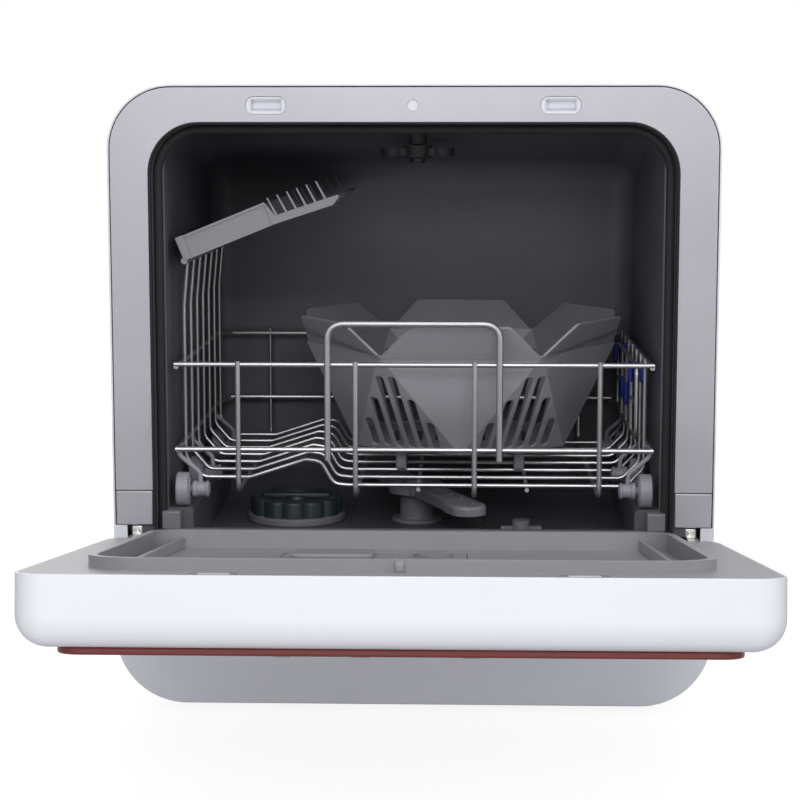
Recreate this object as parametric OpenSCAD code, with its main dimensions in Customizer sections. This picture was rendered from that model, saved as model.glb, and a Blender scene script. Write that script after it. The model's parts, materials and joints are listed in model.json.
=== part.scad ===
// Small countertop dishwasher, door open, with its pull-out rack.
// X runs to the right, Y to the rear and Z up.
// The origin is on the worktop, in the middle of the open object.

/* [Cabinet] */
// Width over the casing
cabinet_w = 420; // [400:5:460]
// Height over the casing, from the worktop
cabinet_h = 438; // [425:1:450]
// Depth from the front frame to the rear panel
cabinet_d = 375; // [345:5:420]
// Thickness of the casing sheet
casing_t = 1.2; // [0.8:0.1:2]
// Radius of the upper casing edges
top_r = 44; // [30:1:46]
// Radius of the lower casing edges
bottom_r = 50; // [30:1:50]
// Height of the grey base tray's wall
base_h = 56; // [55:1:58]
// Wall of the base tray
base_t = 2.5; // [2:0.5:4]
// Height of the rubber feet
foot_h = 4; // [3:0.5:8]
// Radius of a foot
foot_r = 14; // [8:1:18]

/* [Front frame] */
// Depth by which the casing stands out round the frame, on each side
frame_inset = 2; // [1.5:0.5:3]
// Thickness of the frame's face
frame_t = 3; // [2:0.5:3]
// Width of the mouth
mouth_w = 364; // [350:2:368]
// Distance from the top of the casing down to the mouth
top_band = 25.5; // [24:0.5:30]
// Corner radius of the mouth
mouth_r = 35; // [25:1:40]
// Height of the frame's lower end
seam_z = 157; // [150:1:165]
// Height of the lower end of the hinge covers
cover_z = 132.5; // [131:0.5:136]
// Distance of each latch from the middle
latch_x = 100.5; // [80:0.5:120]
// Distance of the latch line from the casing's top
latch_drop = 14.2; // [13:0.1:15]
// Width of a latch window
latch_w = 27.5; // [20:0.5:30]
// Height of a latch window
latch_h = 12; // [8:0.5:12]
// Radius of the door switch hole
switch_r = 3.8; // [2.5:0.1:4]

/* [Tub] */
// Inner width of the tub
tub_w = 346; // [336:2:348]
// Depth of the tub behind the front frame
tub_d = 275; // [260:5:290]
// Wall of the tub
tub_t = 2.5; // [2:0.1:3]
// Height of the tub's front lip
lip_z = 128; // [126:0.5:129]
// Height of the basin floor
basin_z = 110; // [108:1:112]
// Height of the ledges that the rack rolls on
ledge_z = 142; // [140:0.5:144]
// Inner width between the ledges
ledge_gap = 312; // [306:2:314]
// Height of the flat part of the ceiling
ceiling_z = 405; // [402:1:407]
// Height of the ceiling at the rear wall
ceiling_rear_z = 380; // [375:1:390]

/* [Door] */
// Angle from closed to open
door_open = 82; // [70:1:84]
// Distance of the hinge axis in front of the frame
hinge_out = 9; // [8:0.5:11]
// Height of the hinge axis
hinge_z = 118; // [117:0.5:119]
// Distance from the hinge axis down to the door's lower end
door_tail = 12; // [11:0.5:13]
// Thickness of the white door shell
door_t = 41; // [36:1:46]
// Corner radius of the door's upper corners
door_r = 20; // [19:1:44]
// Wall of the door shell
shell_t = 2.5; // [2:0.5:3]
// Radius of the shell's outer edge
shell_r = 18; // [8:1:20]
// Gap between the closed door and the frame
door_gap = 1.5; // [1:0.1:2]
// Width of the coloured front panel
panel_w = 378; // [340:2:380]
// Thickness of the front panel
panel_t = 4.5; // [3:0.5:6]
// Height by which the liner's rim stands into the mouth
pan_rise = 7; // [5:0.5:9]
// Width of the liner's raised rim at the hinges
pan_rim = 14; // [10:1:18]
// Thickness of the liner's raised rim at the top and the sides
pan_wall = 5; // [4:0.5:8]
// Depth of the liner's middle below its flange
pan_sink = 5; // [3:0.5:8]
// Radius of the hinge pins
pin_r = 3; // [2.5:0.1:4]
// Radial running clearance of pins, axles and caps
running = 0.05; // [0.03:0.01:0.08]

/* [Rack] */
// Thickness of the thin wires
wire = 3; // [2.4:0.1:3.4]
// Thickness of the handle wire
handle_wire = 4.2; // [3.4:0.1:4.6]
// Width over the rack's side rails
rack_w = 338; // [330:1:340]
// Distance of the rack's front wires from the front frame
rack_front_y = 22; // [20:1:30]
// Length of the rack
rack_d = 240; // [225:5:242]
// Height of the upper rails
rail_top_z = 244; // [235:1:250]
// Height of the lower rails
rail_low_z = 183; // [178:1:190]
// Height of the floor wires
floor_wire_z = 154; // [153:0.5:156]
// Height of the handle's top
handle_z = 275; // [262:1:290]
// Number of tall wires on the left
tall_wires = 7; // [5:1:8]
// Pitch of the tall wires
tall_pitch = 34; // [28:1:34]
// Radius of a rack wheel
wheel_r = 12; // [9:0.5:12]
// Width of a rack wheel
wheel_w = 10.5; // [7:0.5:11]

/* [Fruit basket] */
// Corner radius of the hexagonal bowl at its rim
bowl_top_r = 118; // [100:1:118]
// Corner radius of the bowl at its bottom
bowl_bottom_r = 89; // [60:1:90]
// Height of the bowl's bottom
bowl_z = 174; // [165:1:175]
// Height of the bowl
bowl_h = 74; // [70:1:85]
// Wall of the bowl
bowl_t = 2; // [1.6:0.1:3]
// Length of a petal
petal_l = 28; // [20:1:32]
// Angle by which a petal leans outwards
petal_lean = 37; // [20:1:40]

/* [Cup tray] */
// Angle of the tray above level
tray_tilt = 22; // [14:1:24]
// Width of the tray
tray_w = 118; // [100:1:124]
// Height of the tray's walls
tray_wall = 17; // [10:1:20]
// Length of the tray
tray_l = 208; // [180:2:212]
// Height of the tray's pivot
tray_z = 316; // [308:1:320]

/* [Spray system] */
// Radius swept by the lower spray arm
arm_r = 112; // [80:1:114]
// Height of the lower spray arm's underside
arm_z = 133; // [132.5:0.5:135]
// Distance of the spray arm's axis behind the frame
arm_y = 137; // [130:1:142]
// Radius of the ceiling spray rotor
rotor_r = 28; // [18:1:40]
// Radius of the salt cap
salt_r = 36; // [30:1:38]

/* [Controls] */
// Width of the control strip on the door
strip_w = 186; // [150:2:200]
// Height of the control strip
strip_h = 28; // [22:1:32]
// Travel of a push button
button_travel = 1.5; // [1:0.1:1.6]

/* [Hidden] */
$fn = 48;

fit = 0.3;                                   // gap between pieces that are seated side by side
half_w = cabinet_w / 2;
mouth_top = cabinet_h - top_band;
door_top = cabinet_h - frame_inset;
door_low = hinge_z - door_tail;
latch_z = cabinet_h - latch_drop;
door_face_y = -door_gap;                     // inner face of the closed door's flange
shell_back_y = door_face_y - door_t;         // outer face of the closed door's shell
panel_z0 = door_low + shell_r;
panel_z1 = door_top - shell_r;
pan_w = mouth_w - 10;
pan_z0 = lip_z + 6;
pan_z1 = mouth_top - 6;
pan_floor_y = door_face_y - pan_sink;
tub_mouth_w = mouth_w - 4;
tub_rear_y = tub_d;
door_reach = hinge_out + (door_top - hinge_z) * sin(door_open) + (hinge_out - door_gap) * cos(door_open);
rear_reach = cabinet_d + 24;
front_y = (door_reach - rear_reach) / 2;  // Y of the front frame's face
hinge_x = half_w - 14.5;                     // middle of each hinge bracket
bracket_w = 8;
slot_out = 9.5;                              // outer side of the hinge slot, from the casing's side
slot_in = 20;                                // inner side of the hinge slot, from the casing's side
rack_x = rack_w / 2 - wire / 2;              // middle of the side rails
rack_rear_y = rack_front_y + rack_d;
tall_y0 = rack_rear_y - 14 - (tall_wires - 1) * tall_pitch;
axle_z = ledge_z + wheel_r;
axle_r = 3;
front_axle_y = rack_front_y + 3;
middle_axle_y = front_axle_y + 70;
rear_axle_y = rack_rear_y - 31;
upright_x = [-126, -42, 42, 130];            // the upright wires of the front and the rear
wheel_x = ledge_gap / 2 + 2.5;               // inner face of a wheel
salt_x = -93;
salt_y = 142;
filter_x = 78;
filter_y = 72;
strip_z = panel_z1 - 12 - strip_h / 2;
button_x = [-66, -22, 40];
bowl_x = 33;
bowl_y = 143;
tray_x = -rack_x + 6;
cup_x = -22;
cup_z = 215;
pump_z = 50;

// Moves the front frame's face to its place in the object's frame.
module placed() { translate([0, front_y, 0]) children(); }

// Turns what is drawn with the door closed to the open door.
module on_door() {
  placed() translate([0, -hinge_out, hinge_z]) rotate([door_open, 0, 0])
    translate([0, hinge_out, -hinge_z]) children();
}

// Extrudes an X-Z outline from y0 to y1.
module slab(y0, y1) { translate([0, y1, 0]) rotate([90, 0, 0]) linear_extrude(y1 - y0) children(); }

// Extrudes a Y-Z outline from x0 to x1.
module side_slab(x0, x1) { translate([x0, 0, 0]) rotate([90, 0, 90]) linear_extrude(x1 - x0) children(); }

// A box given by its two corners.
module box(a, b) { translate(a) cube(b - a); }

// A cylinder along X from x0 to x1.
module rod_x(x0, x1, y, z, r) { translate([x0, y, z]) rotate([0, 90, 0]) cylinder(h = x1 - x0, r = r); }

// A cylinder along Y from y0 to y1.
module rod_y(y0, y1, x, z, r) { translate([x, y1, z]) rotate([90, 0, 0]) cylinder(h = y1 - y0, r = r); }

// The children, and their mirror image on the other side.
module both_sides() { children(); mirror([1, 0, 0]) children(); }

// A rectangle with one corner radius, centred on X.
module round_rect(w, z0, z1, r) {
  translate([-w / 2 + r, z0]) square([w - 2 * r, z1 - z0]);
  translate([-w / 2, z0 + r]) square([w, z1 - z0 - 2 * r]);
  for (x = [-w / 2 + r, w / 2 - r], z = [z0 + r, z1 - r]) translate([x, z]) circle(r);
}

// The outline of the cabinet, drawn in by t all round.
module cabinet_outline(t = 0) {
  w = cabinet_w - 2 * t;
  z0 = foot_h + t;
  z1 = cabinet_h - t;
  intersection() {
    round_rect(w, z0, z1 + 2 * top_r, bottom_r - t);
    round_rect(w, z0 - 2 * bottom_r, z1, top_r - t);
  }
}

// A rectangle with two rounded upper corners, centred on X.
module arch(w, z0, z1, r) {
  round_rect(w, z0, z1, r);
  translate([-w / 2, z0]) square([w, (z1 - z0) / 2]);
}

// The unit normal of the line's part that starts at point i.
function normal(points, i) =
  let (k = min(max(i, 0), len(points) - 2), d = points[k + 1] - points[k]) [-d[1], d[0]] / norm(d);

// The mitred offset at point i, for a line of half width h.
function mitre(points, i, h) =
  let (a = normal(points, i - 1), b = normal(points, i), m = (a + b) / norm(a + b)) m * h / (m * a);

// A line of width w through the points, with mitred joints.
module stroke(points, w) {
  n = len(points) - 1;
  polygon(concat([for (i = [0:n]) points[i] + mitre(points, i, w / 2)],
                 [for (i = [0:n]) points[n - i] - mitre(points, n - i, w / 2)]));
}

// --- Cabinet ---

module casing() {
  color("white") placed() {
    slab(0.5, cabinet_d - 1) difference() {
      cabinet_outline();
      cabinet_outline(casing_t);
      translate([-cabinet_w, 0]) square([2 * cabinet_w, base_h + fit]);
    }
    both_sides() box([half_w - slot_out, 0.5, door_low - 2], [half_w - casing_t / 2, 2, cover_z - fit]);
  }
}

module base_tray() {
  color("silver") placed() {
    difference() {
      slab(0, cabinet_d) cabinet_outline();
      slab(base_t, cabinet_d - base_t) cabinet_outline(base_t);
      box([-cabinet_w, -1, base_h], [cabinet_w, cabinet_d + 1, cabinet_h + 1]);
    }
    intersection() {
      slab(base_t / 2, cabinet_d - base_t / 2) cabinet_outline(base_t / 2);
      both_sides() {
        box([half_w - 23, 20, 0], [half_w, 62, base_h]);
        box([half_w - 23, 262, 0], [half_w, 268, base_h]);
      }
    }
    box([-34, 165, foot_h + base_t - 1], [34, 185, 12]);
    box([-34, 235, foot_h + base_t - 1], [34, 255, 12]);
  }
}

module lower_front_panel() {
  color("silver") placed() {
    box([-half_w + frame_inset, 0.5, base_h + fit], [half_w - frame_inset, 3, door_low - 6]);
    both_sides() box([half_w - 26, 3, base_h + fit], [half_w - 23.5, 20, door_low - 6]);
  }
}

module front_frame() {
  color("gainsboro") placed() difference() {
    union() {
      slab(0, frame_t) frame_outline();
      slab(frame_t, 14) difference() {
        frame_outline();
        cabinet_outline(frame_inset + 2);
        translate([-cabinet_w, 0]) square([2 * cabinet_w, seam_z + 4]);
      }
    }
    slab(-1, frame_t + 1) arch(mouth_w, 0, mouth_top, mouth_r);
    for (s = [-1, 1]) translate([s * latch_x, 0, latch_z])
      slab(-1, frame_t + 1) round_rect(latch_w, -latch_h / 2, latch_h / 2, latch_h / 2 - 0.5);
    rod_y(-1, frame_t + 1, 0, latch_z, switch_r);
  }
}

// The front frame's outline above its lower end.
module frame_outline() {
  intersection() {
    cabinet_outline(frame_inset);
    translate([-cabinet_w, seam_z + fit]) square([2 * cabinet_w, cabinet_h]);
  }
}

module hinge_covers() {
  color("silver") placed() both_sides() {
    box([mouth_w / 2 + 0.2, 0, cover_z], [half_w - frame_inset, frame_t, seam_z - fit]);
  }
}

module rear_panel() {
  color("white") placed() difference() {
    slab(cabinet_d - casing_t + 0.2, cabinet_d + 0.4) difference() {
      cabinet_outline(casing_t + fit);
      translate([-cabinet_w, 0]) square([2 * cabinet_w, base_h + 2 * fit]);
    }
    rod_y(cabinet_d - 5, cabinet_d + 5, inlet_x, port_z, inlet_r + 2.5);
    rod_y(cabinet_d - 5, cabinet_d + 5, drain_x, port_z, drain_r + 0.5);
    rod_y(cabinet_d - 5, cabinet_d + 5, gland_x, port_z, gland_r + 0.5);
    for (p = screw_points) rod_y(cabinet_d - 5, cabinet_d + 5, p[0], p[1], 1.8);
  }
}

inlet_x = 150;
inlet_r = 13.2;
drain_x = 92;
drain_r = 10;
gland_x = -150;
gland_r = 8;
port_z = 84;
screw_points = [for (x = [-half_w + 10, half_w - 10], z = [70, 230, cabinet_h - top_r - 4]) [x, z]];

module rear_screws() {
  color("silver") placed() for (p = screw_points) {
    rod_y(cabinet_d + 0.4, cabinet_d + 2.4, p[0], p[1], 3.5);
    rod_y(cabinet_d - 8, cabinet_d + 0.6, p[0], p[1], 1.7);
  }
}

module feet() {
  color("dimgray") placed()
    for (x = [-half_w + bottom_r + 4, half_w - bottom_r - 4], y = [38, cabinet_d - 38])
      translate([x, y, 0]) cylinder(h = foot_h, r = foot_r);
}

module cord_gland() {
  color("dimgray") placed() difference() {
    union() {
      rod_y(cabinet_d - 6, cabinet_d + 14, gland_x, port_z, gland_r);
      rod_y(cabinet_d + 0.4, cabinet_d + 4, gland_x, port_z, gland_r + 4);
    }
    rod_y(cabinet_d - 7, cabinet_d + 15, gland_x, port_z, 3.6);
  }
}

// --- Tub ---

// The space inside the tub, grown outwards by t.
module tub_space(t) {
  slab(frame_t + fit - (t > 0 ? 0 : 1), 16 + t)
    arch(tub_mouth_w + 2 * t, lip_z - t, mouth_top - 2 + t, mouth_r - 2 + t);
  difference() {
    intersection() {
      slab(12, tub_rear_y + t) round_rect(tub_w + 2 * t, basin_z - t, ceiling_z + t, 28 + t);
      side_slab(-half_w, half_w) polygon([
        [12, basin_z - t], [228, basin_z - t], [tub_rear_y - 12, lip_z + 5 - t],
        [tub_rear_y + t, lip_z + 5 - t], [tub_rear_y + t, ceiling_rear_z + t], [165, ceiling_z + t],
        [12, ceiling_z + t]]);
      // below the ledges the tub is narrower
      union() {
        box([-ledge_gap / 2 - t, 0, 0], [ledge_gap / 2 + t, cabinet_d, cabinet_h]);
        box([-half_w, 0, ledge_z - t], [half_w, cabinet_d, cabinet_h]);
      }
    }
    box([-half_w, 0, 0], [half_w, 16 - t, lip_z - t]);
  }
}

module tub() {
  color("dimgray") placed() difference() {
    union() {
      tub_space(tub_t);
      slab(frame_t + fit, frame_t + fit + tub_t) difference() {
        round_rect(tub_mouth_w + 34, 0, mouth_top + 5, mouth_r + 4);
        translate([-cabinet_w, 0]) square([2 * cabinet_w, lip_z - tub_t]);
        for (s = [-1, 1]) translate([s * half_w - slot_in, 0]) square([2 * slot_in, cover_z + 1]);
      }
    }
    tub_space(0);
    // ports for the ceiling nozzle, the pedestal, the filter and the salt neck
    translate([0, 150, ceiling_z - 5]) cylinder(h = 20, r = nozzle_r + fit);
    translate([0, arm_y, basin_z - 5]) cylinder(h = 6, r = pedestal_r + fit);
    translate([filter_x, filter_y, basin_z - 5]) cylinder(h = 6, r = sump_r);
    translate([salt_x, salt_y, basin_z - 5]) cylinder(h = 6, r = neck_r + fit);
  }
}

nozzle_r = 7;
pedestal_r = 13;
sump_r = 34;
neck_r = 30;

module door_seal() {
  color("black") placed() {
    slab(-door_gap + fit, frame_t + fit) difference() {
      arch(mouth_w - 0.6, lip_z - 1.6, mouth_top - 0.3, mouth_r - 0.3);
      arch(tub_mouth_w, lip_z, mouth_top - 2, mouth_r - 2);
    }
  }
}

module rail_stops() {
  color("silver") placed() both_sides()
    box([tub_w / 2 - 9, 6, lip_z], [tub_w / 2 + 4, 15.5, ledge_z - 1]);
}

module ceiling_nozzle() {
  color("gray") placed() translate([0, 150, 0]) {
    translate([0, 0, ceiling_z - 8]) cylinder(h = 14, r = nozzle_r);
    translate([0, 0, rotor_z - 4]) cylinder(h = 20, r = 3);
    translate([0, 0, rotor_z - 7]) cylinder(h = 4, r = 6);
  }
}

rotor_z = ceiling_z - 15;

module ceiling_spray_rotor() {
  color("dimgray") placed() translate([0, 150, rotor_z - 2.7]) difference() {
    union() {
      cylinder(h = 9, r = 11);
      for (s = [-1, 1]) translate([s * (rotor_r - 9), 0, 1]) cylinder(h = 6, r = 9);
      box([-rotor_r + 9, -7, 1], [rotor_r - 9, 7, 7]);
    }
    translate([0, 0, -1]) cylinder(h = 12, r = 3 + running);
  }
}

module spray_pedestal() {
  color("gray") placed() translate([0, arm_y, 0]) {
    translate([0, 0, basin_z - tub_t - 4]) cylinder(h = arm_z - basin_z + tub_t + 3.7, r = pedestal_r);
    translate([0, 0, basin_z]) cylinder(h = 3, r = pedestal_r + 6);
    translate([0, 0, arm_z - 2]) cylinder(h = 10.5, r = 4);
    translate([0, 0, arm_z + 7.6]) cylinder(h = 1.6, r = 8);
  }
}

module lower_spray_arm() {
  color("gray") placed() translate([0, arm_y, arm_z]) rotate(-67) difference() {
    union() {
      cylinder(h = 7.3, r = 22);
      for (s = [-1, 1]) translate([s * (arm_r - 14), 0, 0]) cylinder(h = 7.3, r = 14);
      box([-arm_r + 14, -14, 0], [arm_r - 14, 14, 7.3]);
    }
    translate([0, 0, -1]) cylinder(h = 10, r = 4 + running);
    for (s = [-1, 1], k = [0.36, 0.54, 0.72, 0.9])
      translate([s * k * arm_r, s * 5, 4]) cylinder(h = 5, r = 1.8);
  }
}

module filter_plate() {
  color("silver") placed() translate([filter_x, filter_y, basin_z]) difference() {
    cylinder(h = 2.4, r = sump_r + 6);
    translate([0, 0, -1]) cylinder(h = 5, r = cup_filter_r + running);
  }
}

cup_filter_r = 24;

module filter_cup() {
  color("gray") placed() translate([filter_x, filter_y, 0]) {
    difference() {
      translate([0, 0, 72]) cylinder(h = basin_z - 72 + 2, r = cup_filter_r);
      translate([0, 0, 71]) cylinder(h = basin_z - 73, r = cup_filter_r - 1.6);
    }
    translate([0, 0, basin_z + 1]) cylinder(h = 12.5, r = 6.5);
    box([-15, -2, basin_z + 1.5], [15, 2, basin_z + 9]);
  }
}

module sump() {
  color("dimgray") placed() {
    difference() {
      union() {
        translate([filter_x, filter_y, 58]) cylinder(h = basin_z - tub_t - 58, r = sump_r + 3);
        box([-16, 84, pump_z - 9], [filter_x, 102, pump_z + 9]);
        translate([filter_x, filter_y, foot_h + base_t]) cylinder(h = 54, r = 10);
      }
      translate([filter_x, filter_y, 60]) cylinder(h = 60, r = sump_r);
    }
  }
}

module water_softener() {
  color("whitesmoke") placed() difference() {
    union() {
      box([salt_x - 45, salt_y - 52, foot_h + base_t], [salt_x + 33, salt_y + 50, basin_z - tub_t - 8]);
      translate([salt_x, salt_y, 80]) cylinder(h = basin_z - 80 + 6, r = neck_r);
      translate([salt_x, salt_y, basin_z]) cylinder(h = 6, r = salt_r + 1.5);
    }
    translate([salt_x, salt_y, 90]) cylinder(h = 40, r = plug_r + running);
  }
}

plug_r = 26;

module salt_cap() {
  color("darkslategray") placed() translate([salt_x, salt_y, 0]) {
    translate([0, 0, basin_z - 12]) cylinder(h = 19, r = plug_r);
    difference() {
      translate([0, 0, basin_z + 6.3]) cylinder(h = 14.5, r = salt_r);
      for (a = [0:30:330]) rotate(a) translate([salt_r + 5, 0, basin_z + 5]) cylinder(h = 18, r = 7);
    }
  }
}

// --- Water and drive under the tub ---

module wash_pump() {
  color("slategray") placed() {
    rod_y(102.3, 135, 0, pump_z, 34);
    rod_y(134, 250, 0, pump_z, 27);
    translate([0, arm_y - 14, 70]) cylinder(h = basin_z - tub_t - 4 - fit - 70, r = 10);
    box([-30, 168, 12], [30, 182, pump_z]);
    box([-30, 238, 12], [30, 249, pump_z]);
  }
}

module heater() {
  color("silver") placed() {
    rod_y(114, 200, 78, 46, 17);
    box([70, 124, foot_h + base_t], [86, 134, 46]);
    box([70, 182, foot_h + base_t], [86, 192, 46]);
  }
}

module drain_pump() {
  color("gray") placed() {
    rod_y(130, 205, 138, 44, 20);
    rod_y(118, 131, 138, 44, 26);
    box([128, 140, foot_h + base_t], [148, 150, 40]);
    box([128, 185, foot_h + base_t], [148, 195, 40]);
  }
}

module drain_outlet() {
  color("dimgray") placed() {
    difference() {
      union() {
        rod_y(205.3, cabinet_d + 3, drain_x, port_z, drain_r);
        rod_y(cabinet_d, cabinet_d + 24, drain_x, port_z, drain_r - 1);
      }
      rod_y(212, cabinet_d + 25, drain_x, port_z, drain_r - 2.5);
    }
    box([drain_x, 205.3, 36], [drain_x + 52, 211, 52]);
    box([drain_x - 6, 205.3, 36], [drain_x + 6, 211, port_z]);
  }
}

module inlet_valve() {
  color("white") placed() {
    difference() {
      union() {
        rod_y(cabinet_d - 40, cabinet_d + 2, inlet_x, port_z, inlet_r + 2);
        rod_y(cabinet_d, cabinet_d + 14, inlet_x, port_z, inlet_r);
      }
      rod_y(cabinet_d - 20, cabinet_d + 15, inlet_x, port_z, 7);
    }
    box([inlet_x - 20, cabinet_d - 58, base_h], [inlet_x + 20, cabinet_d - 34, port_z + 20]);
    box([inlet_x - 14, cabinet_d - 52, foot_h + base_t], [inlet_x + 6, cabinet_d - 40, base_h + 1]);
  }
}

module riser_pipe() {
  color("gray") placed() {
    top = ceiling_z + 16;
    translate([0, 150, ceiling_z + 6]) cylinder(h = 14, r = 9);
    rod_y(150, tub_rear_y + 20, 0, top, 7);
    translate([0, tub_rear_y + 20, pump_z]) cylinder(h = top - pump_z, r = 7);
    translate([0, tub_rear_y + 20, top]) sphere(7.2);
    translate([0, tub_rear_y + 20, pump_z]) sphere(7.2);
    rod_y(250.3, tub_rear_y + 20, 0, pump_z, 7);
  }
}

module water_distributor() {
  color("whitesmoke") placed() {
    box([-half_w + 10, 70, 170], [-tub_w / 2 - tub_t - fit, 230, 370]);
    box([-half_w + 19, 100, 60], [-half_w + 31, 114, 171]);
    box([-half_w + 19, 100, 46], [salt_x - 45 - fit, 114, 60]);
  }
}

// --- Hinges, springs and latch ---

module hinge_brackets() {
  color("lightgray") placed() for (s = [-1, 1]) translate([s * hinge_x, 0, 0]) difference() {
    union() {
      rod_x(-bracket_w / 2, bracket_w / 2, -hinge_out, hinge_z, 6.5);
      box([-bracket_w / 2, -hinge_out, hinge_z - 3], [bracket_w / 2, 58, hinge_z + 6.4]);
      box([-bracket_w / 2, 26, base_h], [bracket_w / 2, 58, hinge_z + 6.4]);
    }
    rod_x(-bracket_w, bracket_w, -hinge_out, hinge_z, pin_r + running);
  }
}

module hinge_pins() {
  color("gray") on_door() both_sides()
    rod_x(hinge_x - 10, hinge_x + bracket_w / 2 + 0.6, -hinge_out, hinge_z, pin_r);
}

module door_hinge_plates() {
  color("lightgray") on_door() both_sides() difference() {
    union() {
      box([hinge_x - 8.5, -hinge_out - 8.5, hinge_z - 5], [hinge_x - 6, door_face_y - 2.3, 165]);
      box([hinge_x - 8.5, shell_back_y + shell_t + fit, 135], [hinge_x - 6, door_face_y - 2.3, 165]);
      box([hinge_x - 32, shell_back_y + shell_t + fit, 135], [hinge_x - 6, shell_back_y + shell_t + 3, 165]);
    }
    rod_x(hinge_x - 10, hinge_x, -hinge_out, hinge_z, pin_r + 0.01);
  }
}

module door_springs() {
  color("gray") placed() for (s = [-1, 1]) translate([s * hinge_x, 0, 0]) {
    difference() {
      rod_y(130, 250, 0, spring_z, 6);
      rod_y(129, 240, 0, spring_z, 4);
    }
    rod_y(249, 262, 0, spring_z, 2);
    box([-4, 262, base_h], [4, 268, spring_z + 3]);
  }
}

spring_z = 84;

module door_cables() {
  color("dimgray") placed() for (s = [-1, 1])
    rod_y(58.3, 140, s * hinge_x, spring_z, 1);
}

module latch_keepers() {
  color("white") placed() for (s = [-1, 1]) translate([s * latch_x, 0, latch_z]) difference() {
    slab(0.6, 12) round_rect(latch_w - 0.4, -latch_h / 2 + 0.2, latch_h / 2 - 0.2, latch_h / 2 - 0.7);
    slab(0, 13) square([bolt_w + 2, bolt_h + 2], center = true);
  }
}

bolt_w = 18;
bolt_h = 5;

module door_switch_plunger() {
  color("gray") placed() {
    rod_y(0.6, 12, 0, latch_z, switch_r - 0.1);
  }
}

// --- Door, drawn closed and then opened ---

// The door's outline, drawn in by t. Its upper corners are tighter than its lower ones.
module door_outline(t = 0) {
  side = half_w - t;
  lower_r = 40 - t;
  upper_r = max(1, door_r - t);
  z0 = door_low + t;
  z1 = door_top - t;
  translate([-side, z0 + lower_r]) square([2 * side, z1 - upper_r - z0 - lower_r]);
  translate([-side + lower_r, z0]) square([2 * (side - lower_r), (z1 - z0) / 2]);
  translate([-side + upper_r, (z0 + z1) / 2]) square([2 * (side - upper_r), (z1 - z0) / 2]);
  for (s = [-1, 1]) {
    translate([s * (side - lower_r), z0 + lower_r]) circle(lower_r);
    translate([s * (side - upper_r), z1 - upper_r]) circle(upper_r);
  }
}

// The door's bowl shape, drawn in by t, open towards the tub.
module door_bowl(t) {
  r = shell_r - t;
  hull() for (a = [0:15:90])
    slab(shell_back_y + t + r * (1 - sin(a)), door_face_y + (t > 0 ? 1 : 0))
      door_outline(t + r * (1 - cos(a)));
}

module door_shell() {
  color("white") on_door() difference() {
    door_bowl(0);
    door_bowl(shell_t);
    slab(door_face_y - 2.2, door_face_y + 1) door_outline(1.2);
    both_sides() box([hinge_x - 10.5, -hinge_out - 9, door_low - 1], [hinge_x + 6, 1, hinge_z + 9]);
  }
}

module door_panel() {
  color("firebrick") on_door()
    slab(shell_back_y - panel_t, shell_back_y) round_rect(panel_w, panel_z0, panel_z1, 14);
}

module door_liner() {
  ridge_x = track_in - 3;
  track_out = track_in + wheel_w + 4.5;
  color("silver") on_door() {
    difference() {
      union() {
        slab(door_face_y - 2, door_face_y) door_outline(1.5);
        slab(pan_floor_y - 2, door_face_y + pan_rise) round_rect(pan_w, pan_z0, pan_z1, 30);
        // the guides of the latch bar
        both_sides() for (z = [latch_z - bolt_h / 2 - fit - 3, latch_z + bolt_h / 2 + fit])
          box([50, -22, z], [60, door_face_y - 1, z + 3]);
      }
      // the sunken middle, with the tracks of the rack's wheels at its sides
      slab(pan_floor_y, door_face_y + pan_rise + 1)
        round_rect(2 * track_out, pan_z0 + pan_rim, pan_z1 - pan_wall, 25);
      // the hollow behind the upper and lower rims
      box([-140, pan_floor_y - 3, pan_z0 + 2], [140, door_face_y + pan_rise - 2, pan_z0 + pan_rim - 2]);
      for (s = [-1, 1]) {
        box([s * hinge_x - 6, -hinge_out - 9, door_low - 1], [s * hinge_x + 6, 1, hinge_z + 9]);
        translate([s * latch_x, 0, latch_z])
          slab(-8, 1) round_rect(latch_w, -latch_h / 2, latch_h / 2, latch_h / 2 - 0.5);
      }
      translate([cup_x, 0, cup_z]) slab(-12, 0) round_rect(cup_w, -cup_h / 2, cup_h / 2, 8);
    }
    // the strips between the middle and the tracks
    both_sides() box([ridge_x, pan_floor_y + 0.2, pan_z0 + pan_rim + 4],
                     [track_in, pan_floor_y + strip_rise, pan_z1 - pan_wall - 6]);
  }
}

strip_rise = 7;
track_in = wheel_x - 1.5;                    // inner side of the wheel tracks on the door
cup_w = 120;
cup_h = 64;

module latch_bar() {
  color("white") on_door() {
    for (s = [-1, 1])
      box([s * latch_x - bolt_w / 2, -16, latch_z - bolt_h / 2],
          [s * latch_x + bolt_w / 2, door_face_y, latch_z + bolt_h / 2]);
    box([-latch_x - bolt_w / 2, -19, latch_z - bolt_h / 2],
        [latch_x + bolt_w / 2, -16, latch_z + bolt_h / 2]);
  }
}

module control_strip() {
  color("black") on_door() difference() {
    slab(shell_back_y - panel_t - 1.2, shell_back_y - panel_t)
      translate([0, strip_z]) round_rect(strip_w, -strip_h / 2, strip_h / 2, 5);
    for (x = button_x) rod_y(-90, 0, x, strip_z, button_r + 0.2);
  }
}

button_r = 6;
button_back = shell_back_y - panel_t - 1.2;

// A push button that stands out of the control strip.
module push_button(x) {
  on_door() rod_y(button_back - button_travel - 0.3, button_back + 1.1 - button_travel, x, strip_z, button_r);
}

module power_button() { color("white") push_button(button_x[0]); }
module program_button() { color("white") push_button(button_x[1]); }
module start_button() { color("white") push_button(button_x[2]); }

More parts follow.
